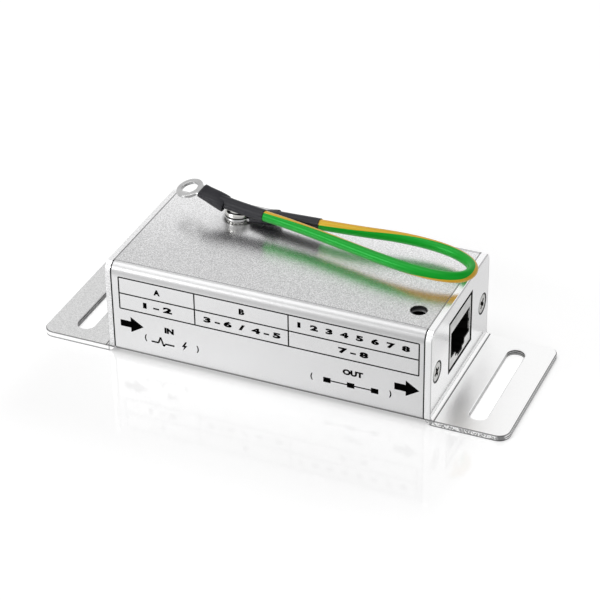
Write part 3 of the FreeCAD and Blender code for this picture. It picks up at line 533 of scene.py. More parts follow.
def toothed_washer():
    washer = start(
        "cylinder", vertices=96, radius=WASHER_RADIUS * MM, depth=WASHER_SHEET * MM,
        location=(0, 0, 0.25 * MM),
    )
    apply_place(washer)
    bpy.ops.object.mode_set(mode="EDIT")
    choose_faces(lambda middle, normal: abs(normal.z) > 0.9)
    bpy.ops.mesh.inset(thickness=1.1 * MM)
    bpy.ops.mesh.bridge_edge_loops()
    for lift, first, last in TOOTH_ARCS:
        def tooth(middle, normal):
            part = math.degrees(math.atan2(middle.y, middle.x)) % TOOTH_PITCH
            rim = middle.length > (WASHER_RADIUS - 0.1) * MM and abs(normal.z) < 0.5
            return rim and first < part < last
        choose_faces(tooth)
        extrude(0, 0, 0.04 * lift * MM)
        bpy.ops.transform.resize(value=(1.09, 1.09, 1), center_override=(0, 0, 0))
    bpy.ops.object.mode_set(mode="OBJECT")
    place = Matrix.Translation((EARTH_X * MM, EARTH_Y * MM, WASHER_BASE * MM))
    return finish_piece(washer, "toothed_washer", place)


toothed = toothed_washer()
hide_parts("lock_washer")

# %% [markdown]
# ## Plate screws
# Four countersunk screws hold the plates. Such a head is a thin disc over a cone that sinks into
# the plate, so a disc's lower face is extruded, drawn in, and extruded again for the shank. No two
# screws stop at the same angle, so each copy is turned about its own axis before it is laid over.

# %% Plate screws
PLATE_FACE = 42.25
SCREW_SIDE = 15.9
SCREW_HEIGHT = 12.6
CONE_DEPTH = 1.3
CONE_TAPER = 0.52
SCREW_TURNS = [
    # the end, the side, and the angle in degrees at which the recess stopped
    (1, -1, 20),
    (1, 1, 52),
    (-1, -1, 5),
    (-1, 1, 33),
]


def plate_screw(end, side, angle):
    head = start(
        "cylinder", vertices=48, radius=2.36 * MM, depth=0.2 * MM, location=(0, 0, -0.15 * MM))
    apply_place(head)
    bpy.ops.object.mode_set(mode="EDIT")
    choose_faces(lambda middle, normal: normal.z < -0.9)
    extrude(0, 0, -CONE_DEPTH * MM)
    bpy.ops.transform.resize(value=(CONE_TAPER, CONE_TAPER, 1), center_override=(0, 0, -1.55 * MM))
    extrude(0, 0, -6.2 * MM)
    bpy.ops.object.mode_set(mode="OBJECT")
    cut_with(head, cross_cutter(3.9, 1.15, 1.2, -0.05))
    break_edges(head, 0.06 * MM)
    face = Matrix.Translation((end * PLATE_FACE * MM, side * SCREW_SIDE * MM, SCREW_HEIGHT * MM))
    upright = turn(math.radians(90) * end, "Y") @ turn(math.radians(angle), "Z")
    return finish_piece(head, f"plate_screw_{end + 1}{side + 1}", face @ upright)


plate_screws = join([plate_screw(*screw) for screw in SCREW_TURNS])
plate_screws.name = "plate_screws"
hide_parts("end_plate_screws")

# %% [markdown]
# ## Jack shields
# The shield is thin nickel-plated sheet folded into a box, with a window for the plug. On each
# side of the window two narrow springs are folded in to press on the plug. A box without a bottom
# becomes sheet by Solidify, the window is cut through its front, and the springs are strips whose
# middle is pushed inwards.

# %% Jack shield
SHIELD_FRONT = 42.2
SHIELD_BACK = 23.95
SHIELD_HALF = 7.44
SHIELD_LOW = 7.5
SHIELD_TOP = 20.5
WINDOW_STEPS = [
    # half the width, the bottom and the top of the plug's window, the latch's notch and its tip
    (6.5, 10.35, 17.45),
    (3.2, 9.05, 10.6),
    (1.7, 8.15, 9.4),
]
SPRING_LENGTH = 7.6
SPRING_WIDTH = 2.1
SPRING_BOW = 1.15
SPRING_HEIGHTS = (11.2, 14.2)


def spring(side, low):
    """A strip that starts at the window's edge, bows inwards and ends near the side wall."""
    strip = start("grid", x_subdivisions=10, y_subdivisions=1, size=1, location=(0, 0, 0))
    strip.scale = (SPRING_LENGTH * MM, SPRING_WIDTH * MM, 1)
    strip.rotation_euler = (math.radians(90), 0, 0)
    window_half = WINDOW_STEPS[0][0]
    middle = Vector((SHIELD_FRONT - 4.0, side * window_half, low + SPRING_WIDTH / 2))
    strip.location = middle * MM
    apply_place(strip)
    for vertex in strip.data.vertices:
        share = (SHIELD_FRONT * MM - vertex.co.x) / (7.8 * MM)
        bow = math.sin(math.pi * min(1.0, share * 1.05)) ** 1.3
        vertex.co.y -= side * SPRING_BOW * MM * bow
    add_modifier(strip, "SOLIDIFY", thickness=0.2 * MM, offset=0)
    return strip


def folded_edge(a, b):
    """The edges along the top, those longer than the shield's height, and those of its front."""
    return min(a.z, b.z) > 0.02 or (a - b).length > 0.013 or a.x > 0.041


def jack_shield():
    low = (SHIELD_BACK, -SHIELD_HALF, SHIELD_LOW)
    shield = box(0, 0, 0, low, (SHIELD_FRONT, SHIELD_HALF, SHIELD_TOP))
    bpy.ops.object.mode_set(mode="EDIT")
    choose_faces(lambda middle, normal: normal.z < -0.9)
    bpy.ops.mesh.delete(type="FACE")
    choose_edges(folded_edge)
    bpy.ops.mesh.bevel(offset=0.3 * MM, segments=3)
    bpy.ops.object.mode_set(mode="OBJECT")
    add_modifier(shield, "SOLIDIFY", thickness=0.3 * MM, offset=-1)
    for half, bottom, top in WINDOW_STEPS:
        cut_with(shield, box(0, 0, 0, (40, -half, bottom), (43, half, top)))
    return join([shield] + [spring(side, low) for side in (-1, 1) for low in SPRING_HEIGHTS])


jack_out = finish_piece(jack_shield(), "jack_out_sheet")
jack_in = finish_piece(jack_shield(), "jack_in_sheet", turn(math.pi, "Z"))
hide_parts("jack_out_shield")
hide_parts("jack_in_shield")

# %% [markdown]
# ## Printing on the front
# The front carries a ruled table, two arrows that show the way the signal goes, and short marks.
# Screen printing lies on the metal as a skin of ink a few hundredths of a millimetre thick, so
# every line and mark is a thin solid just proud of the face. The table's cells hold the pin numbers
# of the four pairs of wires.

# %% Lines and arrows
INK = 0.025
INK_SINK = 0.005
FACE_Y = -20.2


def ink_box(left, bottom, right, top):
    return box(0, FACE_Y, 0, (left, -INK, bottom), (right, INK_SINK, top))


def ink_line(first, last, width=0.33):
    """A straight stroke between two points of the face, given as X and Z in millimetres."""
    run = Vector((last[0] - first[0], 0, last[1] - first[1]))
    stroke = start("cube", size=1, scale=(run.length * MM, (INK + INK_SINK) * MM, width * MM))
    stroke.rotation_euler = (0, -math.atan2(run.z, run.x), 0)
    depth = FACE_Y - (INK - INK_SINK) / 2
    stroke.location = Vector(((first[0] + last[0]) / 2, depth, (first[1] + last[1]) / 2)) * MM
    apply_place(stroke)
    return stroke


def thicken(outline):
    """Gives a flat outline on the face the thickness of ink, with its faces outwards."""
    bpy.ops.object.mode_set(mode="EDIT")
    bpy.ops.mesh.select_all(action="SELECT")
    extrude(0, (INK + INK_SINK) * MM, 0)
    bpy.ops.mesh.select_all(action="SELECT")
    bpy.ops.mesh.normals_make_consistent(inside=False)
    bpy.ops.object.mode_set(mode="OBJECT")
    return outline


def ink_shape(corners):
    """A filled outline, from a row of corners on the face."""
    outline = start("circle", vertices=len(corners), radius=MM, fill_type="NGON")
    for vertex, (x, z) in zip(outline.data.vertices, corners):
        vertex.co = Vector((x, FACE_Y - INK, z)) * MM
    return thicken(outline)


def arrow(tail, tip, middle, shaft_half, head_half, head_length):
    neck = tip - head_length
    return ink_shape([
        (tail, middle - shaft_half), (neck, middle - shaft_half), (neck, middle - head_half),
        (tip, middle),
        (neck, middle + head_half), (neck, middle + shaft_half), (tail, middle + shaft_half),
    ])


TABLE_LEFT, TABLE_RIGHT = -38.6, 39.25
TABLE_ROWS = (22.28, 17.78, 13.38)
TABLE_COLUMNS = (TABLE_LEFT, -18.35, 6.23, TABLE_RIGHT)
print_parts = [ink_line((TABLE_LEFT, z), (TABLE_RIGHT, z)) for z in TABLE_ROWS]
print_parts += [ink_line((x, TABLE_ROWS[0]), (x, TABLE_ROWS[2])) for x in TABLE_COLUMNS]
print_parts.append(arrow(-38.65, -32.4, 9.2, 0.9, 2.2, 3.45))
print_parts.append(arrow(33.2, 39.45, 9.05, 0.95, 2.2, 3.4))
print("printed lines and arrows:", len(print_parts))

# %% [markdown]
# ## Words and signs
# Blender's own text object gives the letters. It is turned into a mesh first, because then its
# points can be stretched to the width and height wanted and laid on the face like any outline. The
# signs are a pulse, a flash and three boxes on a line, the usual sign for a network.

# %% Words
CAP = 1.62
BRACKET = 2.0
LETTER_WEIGHT = 0.06
HEAD_LINE, VALUE_LINE, PORT_LINE, SIGN_LINE = 19.3, 14.85, 8.95, 5.35
PRINTED_WORDS = [
    # the words, then their left and right ends, base line and height
    ("A", -29.2, -27.5, HEAD_LINE, CAP),
    ("B", -6.6, -5.1, HEAD_LINE, CAP),
    ("1  2  3  4  5  6  7  8", 8.6, 37.0, HEAD_LINE, CAP),
    ("1 - 2", -32.2, -24.4, VALUE_LINE, CAP),
    ("3 - 6  /  4 - 5", -16.0, 4.2, VALUE_LINE, CAP),
    ("7 - 8", 19.0, 26.6, VALUE_LINE, CAP),
    ("IN", -26.7, -24.2, PORT_LINE, CAP),
    ("OUT", 20.1, 25.3, PORT_LINE, CAP),
    ("(", -32.2, -31.6, SIGN_LINE, BRACKET),
    (")", -18.2, -17.6, SIGN_LINE, BRACKET),
    ("(", 11.8, 12.4, SIGN_LINE, BRACKET),
    (")", 31.9, 32.5, SIGN_LINE, BRACKET),
]


def ink_text(words, left, right, bottom, height):
    """Words stretched to a width, standing on a base line."""
    bpy.ops.object.select_all(action="DESELECT")
    bpy.ops.object.text_add()
    text = bpy.context.object
    text.data.body = words
    text.data.offset = LETTER_WEIGHT
    text.data.resolution_u = 3
    bpy.ops.object.convert(target="MESH")
    text = bpy.context.object
    corners = [vertex.co for vertex in text.data.vertices]
    low = Vector((min(c.x for c in corners), min(c.y for c in corners)))
    high = Vector((max(c.x for c in corners), max(c.y for c in corners)))
    for vertex in text.data.vertices:
        x = left + (vertex.co.x - low.x) / (high.x - low.x) * (right - left)
        z = bottom + (vertex.co.y - low.y) / (high.y - low.y) * height
        vertex.co = Vector((x, FACE_Y - INK, z)) * MM
    return thicken(text)


print_parts += [ink_text(*printed) for printed in PRINTED_WORDS]
print("words:", len(PRINTED_WORDS))

# %% Signs
PULSE = [(0.0, 5.7), (1.9, 5.7), (2.5, 7.4), (3.3, 5.0), (3.8, 5.7), (6.2, 5.7)]
FLASH = [(1.1, 2.7), (0.1, 1.1), (0.75, 1.2), (0.35, 0.0), (1.6, 1.65), (0.95, 1.6), (1.55, 2.7)]
BOX_WIDTH = 1.9
BOX_STARTS = (0.0, 6.1, 12.2)
BOX_BOTTOM, BOX_TOP = 5.5, 6.9


def pulse_sign(left):
    """A flat line with one steep pulse."""
    points = [(left + x, z) for x, z in PULSE]
    return [ink_line(first, last, 0.42) for first, last in zip(points, points[1:])]


def bolt_sign(left, bottom):
    return ink_shape([(left + x, bottom + z) for x, z in FLASH])


def network_sign(left):
    """Three boxes on one line."""
    boxes = [ink_box(left + x, BOX_BOTTOM, left + x + BOX_WIDTH, BOX_TOP) for x in BOX_STARTS]
    middle = (BOX_BOTTOM + BOX_TOP) / 2
    links = [
        ink_line((left + x + BOX_WIDTH, middle), (left + after, middle), 0.3)
        for x, after in zip(BOX_STARTS, BOX_STARTS[1:])
    ]
    return boxes + links


print_parts += pulse_sign(-30.4)
print_parts.append(bolt_sign(-22.3, 4.95))
print_parts += network_sign(15.1)
front_print = finish_piece(join(print_parts), "front_print")

# %% [markdown]
# ## Shader arithmetic
# Wiring Math nodes by hand is slow to read. Here a socket is wrapped in a small class, so that an
# expression such as 1 - mask * 0.5 adds the nodes itself.

# %% Sockets as values
class Value:
    """An output socket. Arithmetic on it adds Math nodes to its finish."""

    def __init__(self, finish, socket):
        self.finish = finish
        self.socket = socket

    def math(self, operation, first, second=0.0):
        return self.finish.node("ShaderNodeMath", {"operation": operation}, {0: first, 1: second})

    def __add__(self, other):
        return self.math("ADD", self, other)

    __radd__ = __add__

    def __mul__(self, other):
        return self.math("MULTIPLY", self, other)

    __rmul__ = __mul__

    def __sub__(self, other):
        return self.math("SUBTRACT", self, other)

    def __rsub__(self, other):
        return self.math("SUBTRACT", other, self)

    def __abs__(self):
        return self.math("ABSOLUTE", self)

    def __mod__(self, other):
        return self.math("FLOORED_MODULO", self, other)


print("shader arithmetic ready")

# %% [markdown]
# ## Finishes
# A finish is one material. Nearly all of them need the same few things: the place in millimetres,
# cloudy noise, a smooth step between two amounts, a mix of two colours and a bump. They could be
# node groups, but methods with plain names are shorter to read and to change.

# %% A finish and its nodes
class Finish:
    """A material or a world under construction, with one method that adds any node."""

    def __init__(self, name, holder=None):
        self.material = holder or bpy.data.materials.new(name)
        self.material.use_nodes = True
        self.tree = self.material.node_tree
        self.tree.nodes.clear()

    def node(self, kind, settings=None, sockets=None, output=0):
        """Adds a node, applies its settings, then gives its sockets values or links."""
        made = self.tree.nodes.new(kind)
        for name, setting in (settings or {}).items():
            setattr(made, name, setting)
        for name, given in (sockets or {}).items():
            if isinstance(given, Value):
                self.tree.links.new(given.socket, made.inputs[name])
            elif isinstance(given, tuple) and len(given) == 3 and made.inputs[name].type == "RGBA":
                made.inputs[name].default_value = (*given, 1)
            else:
                made.inputs[name].default_value = given
        return Value(self, made.outputs[output]) if made.outputs else made

    def place(self, scale=(1, 1, 1)):
        """Object coordinates in millimetres, stretched by a scale along each axis."""
        coordinates = self.node("ShaderNodeTexCoord", output="Object")
        sizes = tuple(1 / MM * factor for factor in scale)
        return self.node("ShaderNodeMapping", {}, {"Vector": coordinates, "Scale": sizes})

    def axis(self, name):
        """One object coordinate in millimetres."""
        return self.node("ShaderNodeSeparateXYZ", {}, {0: self.place()}, output=name)

    def noise(self, size_mm, detail=2.0, scale=(1, 1, 1)):
        """Cloudy noise between 0 and 1 whose features are about size_mm across."""
        sockets = {"Vector": self.place(scale), "Scale": 1 / size_mm, "Detail": detail}
        return self.node("ShaderNodeTexNoise", {}, sockets, output="Fac")

    def between(self, amount, low, high):
        """A smooth step from 0 at low to 1 at high."""
        settings = {"interpolation_type": "SMOOTHSTEP"}
        sockets = {"Value": amount, "From Min": low, "From Max": high}
        return self.node("ShaderNodeMapRange", settings, sockets)

    def band(self, amount, low, full, fade, high):
        """Rises from low to full, and falls again from fade to high."""
        return self.between(amount, low, full) * self.between(amount, high, fade)

    def mix(self, amount, first, second):
        """A colour between two, by an amount from 0 to 1."""
        settings = {"data_type": "RGBA"}
        return self.node("ShaderNodeMix", settings, {0: amount, 6: first, 7: second}, output=2)

    def bump(self, height, depth_mm, strength=1.0):
        """A normal from a height between 0 and 1 that stands for depth_mm."""
        sockets = {"Height": height, "Distance": depth_mm * MM, "Strength": strength}
        return self.node("ShaderNodeBump", {}, sockets, output="Normal")

    def finish(self, **sockets):
        """Ends in a Principled shader. Names such as base_color become Base Color."""
        named = {word.replace("_", " ").title().replace("Ior", "IOR"): given
                 for word, given in sockets.items()}
        shader = self.node("ShaderNodeBsdfPrincipled", {}, named)
        self.node("ShaderNodeOutputMaterial", {}, {"Surface": shader})
        return self.material


def dress(material, *names):
    """Gives CAD nodes or new pieces one material in every slot."""
    for name in names:
        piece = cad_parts.get(name) or bpy.data.objects[name]
        if not piece.material_slots:
            piece.data.materials.append(material)
        for holder in piece.material_slots:
            holder.material = material


print("shader helpers ready")

# %% [markdown]
# ## Aluminium
# Both the housing and its plates are blasted with fine glass beads and then anodised. The beads
# leave pits a few tenths of a millimetre across, which sparkle in the light and blur reflections.
# A picture of such a surface would do, but noise in object coordinates has no seams and no scale
# of its own to get wrong. The printed front has been rubbed smoother, so its grain is fainter. A
# fine dark line where the rounded edge of the extrusion begins is a painted reflection of a dark
# band that the edge mirrors.

# %% Tones and masks
HOUSING_END = 40.75
SPARE_X, SPARE_Y = 35.8, -11.5
TOP_TONE = (0.80, 0.80, 0.805)
FRONT_TONE = (0.84, 0.84, 0.845)
WHITE = (1.0, 1.0, 1.0)
DARK_TONE = (0.025, 0.025, 0.026)
PAINTED_SHADE_TONE = (0.008, 0.008, 0.008)
# Torn metal, and also painted shade and a painted dark reflection.
TORN_AND_SHADE_TONE = (0.22, 0.22, 0.225)
PAINTED_CORNER_SHADE = (0.62, 0.62, 0.62)


def scaled(tone, factor):
    return tuple(min(1.0, channel * factor) for channel in tone)


def larger(made, first, second=0.0):
    return made.node("ShaderNodeMath", {"operation": "MAXIMUM"}, {0: first, 1: second})


def distance(made, first, second):
    squares = first * first + second * second
    return made.node("ShaderNodeMath", {"operation": "SQRT"}, {0: squares})


def multiply(made, first, second):
    settings = {"data_type": "RGBA", "blend_type": "MULTIPLY"}
    return made.node("ShaderNodeMix", settings, {0: 1.0, 6: first, 7: second}, output=2)


def pits(made, amount, depth):
    """A grey factor and a normal for beaded metal. Amount says where the grain is strong."""
    round_pits = made.noise(0.32, detail=2.0)
    fine = made.noise(0.16, detail=1.0)
    grain = made.between(round_pits * 0.6 + fine * 0.4, 0.38, 0.62)
    dark = (1 - depth,) * 3
    tone = made.mix(amount, WHITE, made.mix(grain, dark, WHITE))
    normal = made.bump((round_pits + fine * 0.5) * amount, 0.03, strength=0.3)
    return tone, normal


print("masks ready")

# %% [markdown]
# ## Housing
# Painted shade gives a darker tone by position where shade falls on the real thing: the joint
# between housing and plate, the foot, the ground round the screw, and the threaded wall of the spare
# hole. The rounded upper edge is toned down with painted shade, so a lamp's highlight on it stays
# soft. The top and the front have their own tones, set to how light falls on each: the top turns
# lighter towards the back as painted light, and the front darker towards the right as painted
# shade. A painted mask would do the same, but a mask in numbers stays sharp at any size and keeps
# to the millimetres of the model.

# %% Housing
def housing_aluminium():
    made = Finish("blasted_housing")
    across = abs(made.axis("Y"))
    height = made.axis("Z")
    top = made.between(across, 18.3, 17.8) * made.between(height, 24.8, 25.2)
    back = made.between(made.axis("Y"), -16, 18)
    grain, normal = pits(made, top * (0.92 - back * 0.3) + 0.08, 0.36)
    cloud = made.noise(9.0)
    # Painted light: the top's tone turns lighter towards the back. Painted shade: the front's tone
    # turns darker towards the right.
    top_tone_with_painted_light = made.mix(back, scaled(TOP_TONE, 0.97), scaled(TOP_TONE, 1.18))
    right = made.between(made.axis("X"), -25, 42)
    even = made.mix(top, made.mix(right, FRONT_TONE, scaled(FRONT_TONE, 0.93)), top_tone_with_painted_light)
    even = made.mix(cloud, even, multiply(made, even, (0.95, 0.95, 0.95)))
    colour = multiply(made, even, grain)
    # Painted reflection: a fine dark line where the rounded edge begins.
    painted_edge_reflection = made.band(across, 17.62, 17.72, 17.95, 18.05) * made.between(height, 25.0, 25.1)
    colour = made.mix(painted_edge_reflection * 0.55, colour, TORN_AND_SHADE_TONE)
    # Painted contact shade darkens the foot of the housing's sides.
    painted_foot_shade = made.between(height, 1.9, 1.2) * made.between(across, 18.2, 18.9)
    colour = made.mix(painted_foot_shade * 0.85, colour, DARK_TONE)
    round_screw = distance(made, made.axis("X") - EARTH_X, made.axis("Y") - EARTH_Y)
    # Painted contact shade: a dark ring on the top round the washer.
    colour = made.mix(made.between(round_screw, 4.6, 3.4) * top * 0.8, colour, TORN_AND_SHADE_TONE)
    # Painted shade tones the rounded upper edge down, so a lamp's highlight there stays soft.
    corner = made.between(across, 18.0, 18.3) * made.between(height, 21.8, 23.8)
    colour = made.mix(corner, colour, multiply(made, colour, PAINTED_CORNER_SHADE))
    # Painted shade in the joint to the plates, fainter on the top.
    seam = made.between(abs(made.axis("X")), HOUSING_END - 0.42, HOUSING_END - 0.3)
    colour = made.mix(seam * (1 - top * 0.5), colour, DARK_TONE)
    # Painted shade in the spare hole: its wall is not metal but painted, dark at the mouth and
    # lighter lower down, with darker turns of its thread.
    spare = distance(made, made.axis("X") - SPARE_X, made.axis("Y") - SPARE_Y)
    thread = abs((height * 1.43) % 1.0 - 0.5)
    wall = made.mix(made.between(height, 24.9, 23.6), DARK_TONE, scaled(FRONT_TONE, 0.95))
    wall = made.mix(made.between(thread, 0.3, 0.45) * 0.7, wall, DARK_TONE)
    inside = made.between(spare, 2.2, 2.14) * made.band(height, 15, 20, 25.1, 25.2)
    colour = made.mix(inside, colour, wall)
    roughness = 0.19 + top * 0.075 + made.between(round_screw, 8.0, 4.0) * 0.16 + corner * 0.2
    return made.finish(base_color=colour, metallic=1 - inside, roughness=roughness, normal=normal)


dress(housing_aluminium(), "housing")
print("housing dressed")

# %% [markdown]
# ## Sheared edges of the plates
# A blade cuts only part of a sheet's thickness and tears the rest. So an edge is bright where it
# was cut, with one dark line, and darker and speckled where it is torn. Its dark foot stands for torn
# metal and is also painted contact shade, and the dark rounded corners of the OUT flange are painted
# shade. The wall of a mounting slot has upright marks of the punch and two dark lines, and its dark
# tone is painted shade. All of it is given by the height and by the distance to the outline, because
# a band under a millimetre wide is hard to paint evenly.

# %% Outline of the flange
FLANGE_END = 61.25
FLANGE_SIDE = 20.25
FLANGE_CORNER = 3.0
SHEET = 1.5


def outer_edge(made, colour, height, across, out, right):
    """The flange's outline: bright where it was cut, torn and in painted contact shade at the foot,
    dark on its upper rim.
    """
    past_end = larger(made, out - (FLANGE_END - FLANGE_CORNER))
    past_side = larger(made, across - (FLANGE_SIDE - FLANGE_CORNER))
    rim = distance(made, past_end, past_side) - FLANGE_CORNER
    low = made.between(height, SHEET + 0.3, SHEET + 0.1)
    edge = made.between(rim, -0.06, -0.04)
    cut = edge * made.between(height, 1.4, 1.3)
    # The dark foot of the cut face is torn metal and also painted contact shade.
    cut_tone = made.mix(made.between(height, 0.42, 0.22) * 0.9, WHITE, TORN_AND_SHADE_TONE)
    colour = made.mix(cut, colour, cut_tone)
    upper = made.between(height, SHEET - 0.26, SHEET - 0.18) * low
    colour = made.mix(made.between(rim, -0.24, -0.18) * upper * 0.8, colour, DARK_TONE)
    # Painted shade: the rounded corners of the OUT flange's edge are dark.
    corner = edge * made.between(across, 19.0, 19.5) * made.between(out, 58.6, 59.2)
    colour = made.mix(corner * right * 0.75, colour, DARK_TONE)
    short = made.between(across, 18.6, 19.4)
    speckle = made.between(made.noise(0.4, detail=1.0), 0.42, 0.6)
    torn = edge * made.between(height, 1.35, 1.1) * short
    colour = made.mix(torn * right * speckle * 0.85, colour, TORN_AND_SHADE_TONE)
    line = edge * made.band(height, 0.55, 0.65, 0.9, 1.0)
    return made.mix(line * (1 - short) * 0.9, colour, DARK_TONE)


print("outline ready")

# %% [markdown]
# ## Slots, bend and openings
# The slot's wall has its own streaks, which are noise stretched upwards. Painted shade gives a dark
# line on the flange along the bend and fills the thin gaps round the jack's opening and the
# countersinks, and a dark line runs round the edge of the plate's face. Real grooves would need many
# more faces for the same dark line, so position alone gives it.

# %% Slot wall and gaps
SLOT_MIDDLE = 52.05
SLOT_HALF = 13.5
SLOT_RADIUS = 2.25


def slot_wall(made, height, across, out, right):
    """How dark the slot's wall is, in painted shade with the punch's marks, and where the wall is."""
    slot = SLOT_RADIUS - distance(made, out - SLOT_MIDDLE, larger(made, across - SLOT_HALF))
    wall = made.between(slot, -0.06, -0.04) * made.between(height, SHEET + 0.3, SHEET + 0.1)
    streaks = made.noise(0.5, scale=(1, 1, 0.12))
    off_upper_line = made.between(abs(height - 1.2), 0.08, 0.18)
    off_lower_line = made.between(abs(height - 0.6), 0.06, 0.14)
    plain = off_upper_line * off_lower_line
    # Painted light: the long walls of the OUT plate's slot are lighter, where light reaches them.
    painted_lit_side = right * made.between(across, SLOT_HALF + 0.8, SLOT_HALF - 0.5)
    shade = (streaks * 0.4 + 0.75 - plain * 0.45) * (1 - painted_lit_side * 0.55)
    return wall * shade, wall


def joints(made, colour, height, across, out):
    """Painted shade along the bend, a dark line round the plate's face, and painted shade round its
    opening and its countersinks.
    """
    low = made.between(height, SHEET + 0.3, SHEET + 0.1)
    # Painted shade: a dark line on the flange along the bend.
    painted_bend_shade = made.band(out, 42.95, 43.1, 43.25, 43.45) * low * made.between(height, 1.3, 1.45)
    colour = made.mix(painted_bend_shade * 0.9, colour, DARK_TONE)
    border = made.between(larger(made, across - 19.78, height - 24.78), 0.0, 0.06)
    border = border * made.band(out, 42.1, 42.2, 42.5, 42.6)
    colour = made.mix(border * 0.6, colour, TORN_AND_SHADE_TONE)
    # Painted shade in the thin gaps round the jack's opening and round the countersinks.
    opening = made.between(across, 8.3, 8.2) * made.band(height, 6.7, 6.8, 21.2, 21.3)
    sink = made.between(distance(made, across - SCREW_SIDE, height - SCREW_HEIGHT), 2.88, 2.8)
    behind = made.between(out, PLATE_FACE + 0.06, PLATE_FACE - 0.01)
    return made.mix(larger(made, opening, sink) * behind, colour, DARK_TONE)


print("slots and gaps ready")

# %% [markdown]
# ## End plates
# The flange at the IN end looks darker and grainier than the other, which mirrors the white ground.
# Its darker tone is painted shade, because the light falls from the other side. Both plates share
# one material, so the tone and the grain follow the place along X.

# %% Plates
FLANGE_SHADED_AND_LIT_TONES = ((0.76, 0.76, 0.76), WHITE)
UPRIGHT_TONE = (0.95, 0.95, 0.955)


def plate_aluminium():
    made = Finish("blasted_plate")
    height = made.axis("Z")
    along = made.axis("X")
    out = abs(along)
    across = abs(made.axis("Y"))
    right = made.between(along, -30, 30)
    # Painted shade: the flange's tone falls from full at the OUT end to darker at the IN end.
    flange_tone_with_painted_shade = made.mix(right, *FLANGE_SHADED_AND_LIT_TONES)
    even = made.mix(made.between(height, 1.4, 3.5), flange_tone_with_painted_shade, UPRIGHT_TONE)
    grain, normal = pits(made, made.between(along, 30, -30) * 0.75 + 0.08, 0.30)
    colour = outer_edge(made, multiply(made, even, grain), height, across, out, right)
    shade, wall = slot_wall(made, height, across, out, right)
    colour = joints(made, made.mix(shade, colour, DARK_TONE), height, across, out)
    low = made.between(height, SHEET + 0.3, SHEET + 0.1)
    roughness = 0.21 + low * 0.15 + (made.noise(6.0) - 0.5) * 0.05 + wall * 0.3
    return made.finish(base_color=colour, metallic=1.0, roughness=roughness, normal=normal)


dress(plate_aluminium(), "end_plate_in", "end_plate_out")
print("plates dressed")

# %% [markdown]
# ## Small metal parts
# Screws, washers and terminals are plated steel or copper: brighter than the housing, with faint
# turning or rolling marks. The same recipe serves them all, with its own tone and roughness.

# %% Plated metal
def plated(name, tone, roughness, mark_mm=0.15, stretch=(1, 1, 1), stain=0.12, inside=None):
    """Plated metal with fine marks and a slight stain that follows no edge."""
    made = Finish(name)
    marks = made.noise(mark_mm, detail=2.0, scale=stretch)
    cloud = made.noise(2.2, detail=3.0)
    dull = tuple(channel * (1 - stain) for channel in tone)
    colour = made.mix(made.between(cloud, 0.4, 0.7), tone, dull)
    rough = roughness + (marks - 0.5) * 0.12
    # Painted shade: where an inside mask is given, those places turn near black and rougher.
    if inside is not None:
        shade = inside(made)
        colour = made.mix(shade, colour, PAINTED_SHADE_TONE)
        rough = rough + shade * 0.6
    normal = made.bump(marks, 0.006, strength=0.4)
    return made.finish(base_color=colour, metallic=1.0, roughness=rough, normal=normal)


def inside_the_socket(made):
    """The shield's outer skin and all behind its front sheet, springs too, lie in shadow."""
    out = abs(made.axis("X"))
    side = made.between(abs(made.axis("Y")), 7.22, 7.26)
    top = made.between(abs(made.axis("Z") - 14.0), 6.28, 6.32)
    skin = larger(made, side, top)
    return larger(made, skin, made.between(out, 42.08, 41.85))


def below_the_head(made):
    """A plate screw's recess and the flank of its head lie in shadow."""
    return made.between(abs(made.axis("X")), PLATE_FACE - 0.07, PLATE_FACE - 0.14)


def under_the_screw(made):
    """Painted shade in the thin gaps between screw head, terminal and washer."""
    height = made.axis("Z")
    gap = made.band(height, 26.7, HEAD_BASE, 27.1, 27.2)
    return larger(made, gap, made.between(height, 25.62, WASHER_BASE)) * 0.95


ZINC_TONE = (0.60, 0.595, 0.57)
dress(plated("zinc_plate", ZINC_TONE, 0.2), "ground_nut")
dress(
    plated("zinc_plate_screw", ZINC_TONE, 0.2, inside=under_the_screw),
    "toothed_washer", "earth_screw",
)
dress(plated("zinc_plate_small", (0.60, 0.60, 0.59), 0.24, inside=below_the_head), "plate_screws")
dress(
    plated("nickel_plate", (0.66, 0.66, 0.655), 0.22, stretch=(0.2, 1, 1), inside=inside_the_socket),
    "jack_out_sheet", "jack_in_sheet",
)
dress(plated("tin_plate", (0.50, 0.50, 0.50), 0.24), "fixed_terminal", "free_terminal")
dress(
    plated("gold_plate", (0.90, 0.70, 0.33), 0.20, stain=0.05),
    "jack_in_contacts", "jack_out_contacts",
)
dress(plated("brass_strip", (0.83, 0.66, 0.36), 0.32), "earth_strap")
print("plated parts dressed")

# %% [markdown]
# ## Moulded and shrunk plastics
# The jack's insert is moulded plastic with a fine even grain. The sleeves and shrink tubes are
# softer, and their satin skin is slightly uneven where they were shrunk. Ink is flat and matt.

# %% Plastics
def moulded(name, tone, roughness, grain_mm=0.1, depth_mm=0.01, gloss=0.5):
    """Plastic with a fine moulded grain and a slightly uneven gloss."""
    made = Finish(name)
    grain = made.noise(grain_mm, detail=2.0)
    cloud = made.noise(1.6, detail=2.0)
    lighter = tuple(channel * 1.25 + 0.004 for channel in tone)
    colour = made.mix(cloud, tone, lighter)
    rough = roughness + (cloud - 0.5) * 0.15
    normal = made.bump(grain, depth_mm, strength=0.5)
    return made.finish(base_color=colour, roughness=rough, normal=normal, specular_ior_level=gloss)


